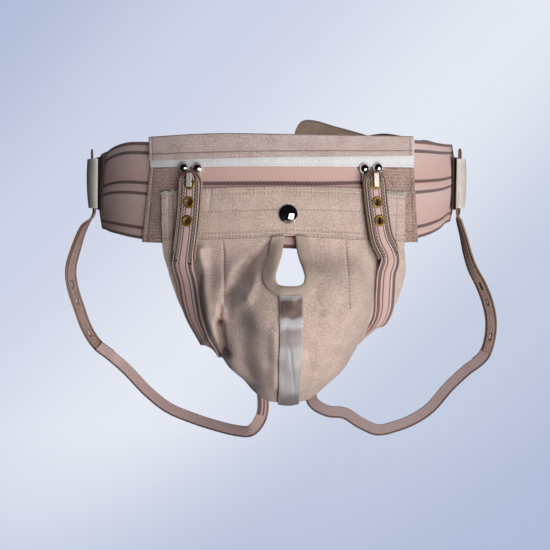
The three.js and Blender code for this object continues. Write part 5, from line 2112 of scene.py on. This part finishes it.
facing_threads = bmesh.new()
for start, end in FACING_ROWS:
    path = belt_path(start, end, lambda share: FACING_BOTTOM + 1.8, facing_face + 0.1)
    stitch_row(facing_threads, path, loop_length(start, end), pitch=2.6, thread=0.6, gap=0.45)
thread_piece("facing_stitches", facing_threads, thread_grey)
print("rows on the waistband:", len(BAND_ROWS))

# %% [markdown]
# ## Stitches on the straps
# Two columns of pale zigzag hold the webbing to the leather of each front strap. A path gives a
# place along the strap and the way out of it, and the row swings from side to side.

# %% Stitches on the straps
def run_path(run, start, end, across, width, face):
    """A path along a strap at a share across its width."""
    def spot(share, sideways):
        distance = lerp(start, end, share)
        point, _, side, out = run.at(distance)
        move = width * (across - 0.5) + sideways
        return point + side * move + out * face(distance), out
    return spot


ZIGZAG_COLUMNS = (0.15, 0.85)
ZIGZAG_SWING = 1.5
SEWN_START = 6.5
SEWN_END = LEATHER_LENGTH + 3
zigzag_threads = bmesh.new()
for row in FRONT_STRAPS:
    run = front_runs[row["side"]]
    for across in ZIGZAG_COLUMNS:
        path = run_path(
            run, SEWN_START, SEWN_END, across, SEWN_WIDTH,
            lambda d: strap_drop(d) + STRAP_THICKNESS + 0.2,
        )
        stitch_row(
            zigzag_threads, path, SEWN_END - SEWN_START,
            pitch=1.45, thread=0.62, gap=0.05, swing=ZIGZAG_SWING,
        )
thread_piece("strap_zigzag", zigzag_threads, thread_white)
print("zigzag columns:", len(ZIGZAG_COLUMNS) * len(FRONT_STRAPS))

# %% [markdown]
# ## Stitches on the pouch
# Brown thread runs down both darts, and pale brown thread along the outer edge of the keyhole's tape
# and both edges of the ribbon. The paths read the same functions as the pieces that they hold, so
# the threads follow every fold.

# %% Stitches on the pouch
DARTS = ((-0.513, 0.02, -0.5, 0.39), (0.476, 0.02, 0.495, 0.4))
dart_threads = bmesh.new()
for x0, z0, x1, z1 in DARTS:
    def dart_path(share, sideways):
        x = POUCH_CENTRE + lerp(x0, x1, share) * POUCH_HALF_WIDTH
        across, down = cloth_spot(x, KEYHOLE_TOP - lerp(z0, z1, share) * POUCH_DROP)
        return on_cloth(across, down, 0.1), cloth_normal(across, down)
    stitch_row(dart_threads, dart_path, abs(z1 - z0) * POUCH_DROP, pitch=2.4, thread=0.7)
thread_piece("dart_stitches", dart_threads, thread_brown)

tape_threads = bmesh.new()


def tape_path(share, sideways):
    point = tape_place(share, 0.045)
    out = cloth_normal(0.0, 0.2)
    return point + out * 0.1, out


stitch_row(tape_threads, tape_path, keyhole.length * 1.25, pitch=2.4, thread=0.5, gap=0.4)
for hand in (0.07, 0.93):
    def ribbon_path(share, sideways, hand=hand):
        point = ribbon_place(hand, 1 - share)
        ahead = ribbon_place(hand, clamp(1 - share - 0.01))
        out = (ribbon_place(hand + 0.02, 1 - share) - point).cross(point - ahead).normalized()
        return point + out * 0.1, out
    stitch_row(tape_threads, ribbon_path, RIBBON_LENGTH, pitch=2.8, thread=0.6, gap=0.5)
thread_piece("tape_stitches", tape_threads, thread_dark)
print("darts:", len(DARTS))

# %% [markdown]
# ## Frayed edges
# Short loose threads stick out of the waistband's top edge near both ends. They are scattered with
# a fixed seed, so that they lie the same way in every run.

# %% Frayed edges
FRAYED = ((-33.8, -27.5, -1.8, 0.9), (32, 38.8, -1.6, 0.8))
FRAY_COUNT = 130
frays = bmesh.new()
dice = random.Random(7)
for start, end, low, high in FRAYED:
    for _ in range(FRAY_COUNT):
        angle = lerp(start, end, dice.random())
        along = (angle - BAND_LEFT) / (BAND_RIGHT - BAND_LEFT)
        height = band_edge("top", along) + lerp(low, high, dice.random())
        lean = dice.uniform(-1.2, 1.2)
        root = on_belt(angle, height, BAND_FACE + 0.1)
        rise = dice.uniform(-0.9, 1.1)
        tip = on_belt(angle + lean, height + rise, BAND_FACE + dice.uniform(0.1, 0.8))
        add_thread(frays, root, tip, loop_normal(angle), 0.42)
thread_piece("frayed_edges", frays, thread_white)
print("loose threads:", FRAY_COUNT * len(FRAYED))

# %% [markdown]
# ## The sweep
# A pale sweep stands behind and below the belt, brighter along one diagonal as in the photo. It
# glows by itself, so no shadow falls on it, and it gives much less light than the camera sees, so
# that the belt stays modelled by the lamps.

# %% Sweep
SWEEP_BACK = 1.5
SWEEP_FLOOR = -2.6
SWEEP_HALF_WIDTH = 6.0
SWEEP_TOP = 5.0
SWEEP_FRONT = -5.0
SWEEP_ROUND = 0.9
SWEEP_STEPS = 12
DIAGONAL_MIDDLE = 0.24
DIAGONAL_STEEPNESS = 0.3136
FLOOR_STARTS = -0.7
FLOOR_PLAIN = -1.5
EDGE_BLUE = srgb(178, 188, 215)


def ray_strength(tree, soft, shiny):
    """Full strength for the camera, less for soft light, and almost none for reflections."""
    rays = add_node(tree, "ShaderNodeLightPath", {}).outputs
    spread = calc(tree, "MULTIPLY_ADD", rays["Is Diffuse Ray"], soft, shiny)
    return calc(tree, "MAXIMUM", rays["Is Camera Ray"], spread)


def sweep_material():
    material = bpy.data.materials.new("sweep")
    material.use_nodes = True
    tree = material.node_tree
    tree.nodes.remove(tree.nodes["Principled BSDF"])
    place = add_node(tree, "ShaderNodeTexCoord", {}).outputs["Object"]
    parts = add_node(tree, "ShaderNodeSeparateXYZ", {0: place})
    slant = calc(tree, "SUBTRACT", parts.outputs[0], parts.outputs[2])
    from_middle = calc(tree, "SUBTRACT", slant, DIAGONAL_MIDDLE)
    share = calc(tree, "MULTIPLY_ADD", from_middle, DIAGONAL_STEEPNESS, 0.5)
    colour = ramp(tree, share, [
        (0.0, EDGE_BLUE), (0.25, srgb(207, 213, 232)), (0.5, srgb(229, 233, 243)),
        (0.75, srgb(197, 205, 225)), (1.0, EDGE_BLUE),
    ], "EASE")
    depth = {0: parts.outputs[2], 1: FLOOR_STARTS, 2: FLOOR_PLAIN, 3: 0.0, 4: 1.0}
    low = add_node(tree, "ShaderNodeMapRange", depth)
    colour = blend_colour(tree, low.outputs[0], colour, EDGE_BLUE)
    glow = add_node(tree, "ShaderNodeEmission", {"Color": colour, "Strength": 1.0})
    tree.links.new(ray_strength(tree, 0.06, 0.03), glow.inputs["Strength"])
    tree.links.new(glow.outputs[0], tree.nodes["Material Output"].inputs["Surface"])
    return material


def sweep():
    mesh = bmesh.new()
    profile = [(SWEEP_FRONT, SWEEP_FLOOR), (SWEEP_BACK - SWEEP_ROUND, SWEEP_FLOOR)]
    for i in range(1, SWEEP_STEPS):
        turn = math.pi / 2 * i / SWEEP_STEPS
        profile.append((
            SWEEP_BACK - SWEEP_ROUND + SWEEP_ROUND * math.sin(turn),
            SWEEP_FLOOR + SWEEP_ROUND - SWEEP_ROUND * math.cos(turn),
        ))
    profile += [(SWEEP_BACK, SWEEP_FLOOR + SWEEP_ROUND), (SWEEP_BACK, SWEEP_TOP)]
    line = [mesh.verts.new((-SWEEP_HALF_WIDTH, y, z)) for y, z in profile]
    edges = [mesh.edges.new(pair) for pair in zip(line, line[1:])]
    made = bmesh.ops.extrude_edge_only(mesh, edges=edges)["geom"]
    moved = [item for item in made if isinstance(item, bmesh.types.BMVert)]
    bmesh.ops.translate(mesh, vec=(2 * SWEEP_HALF_WIDTH, 0, 0), verts=moved)
    bmesh.ops.recalc_face_normals(mesh, faces=mesh.faces)
    data = bpy.data.meshes.new("sweep")
    mesh.to_mesh(data)
    mesh.free()
    piece = bpy.data.objects.new("sweep", data)
    bpy.context.scene.collection.objects.link(piece)
    data.materials.append(sweep_material())


sweep()
print("sweep:", 2 * SWEEP_HALF_WIDTH, "m wide")

# %% [markdown]
# ## The lights
# One large softbox low on the right gives the shine on the snap and the shadows on the left. A weak
# one above and one behind open the shadows without a shine of their own, and dim light from all
# round does the rest.

# %% Lights
def softbox(name, place, aim, size, watts, colour, shines=True):
    light = bpy.data.lights.new(name, "AREA")
    light.shape = "SQUARE"
    light.size = size
    light.energy = watts
    light.color = colour
    lamp = bpy.data.objects.new(name, light)
    lamp.visible_glossy = shines
    lamp.location = place
    lamp.rotation_euler = (Vector(aim) - Vector(place)).to_track_quat("-Z", "Y").to_euler()
    bpy.context.scene.collection.objects.link(lamp)


softbox("key", (1.36, -2.02, -0.98), (0, -0.08, -0.04), 2.2, 75, (1.0, 0.985, 0.97))
softbox("fill", (0.5, -1.7, 1.6), (0, -0.05, 0.0), 1.2, 15.0, (0.94, 0.96, 1.0), shines=False)
softbox("back", (0.3, 1.3, 0.5), (0, 0, 0.0), 1.0, 16, (0.92, 0.95, 1.0), shines=False)


def studio_air():
    world = bpy.data.worlds.new("studio")
    world.use_nodes = True
    bpy.context.scene.world = world
    tree = world.node_tree
    rays = add_node(tree, "ShaderNodeLightPath", {}).outputs["Is Camera Ray"]
    colour = blend_colour(tree, rays, srgb(150, 152, 176), EDGE_BLUE)
    tree.links.new(colour, tree.nodes["Background"].inputs["Color"])
    tree.links.new(ray_strength(tree, 0.07, 0.02), tree.nodes["Background"].inputs["Strength"])


studio_air()
print("lamps:", len(bpy.data.lights))
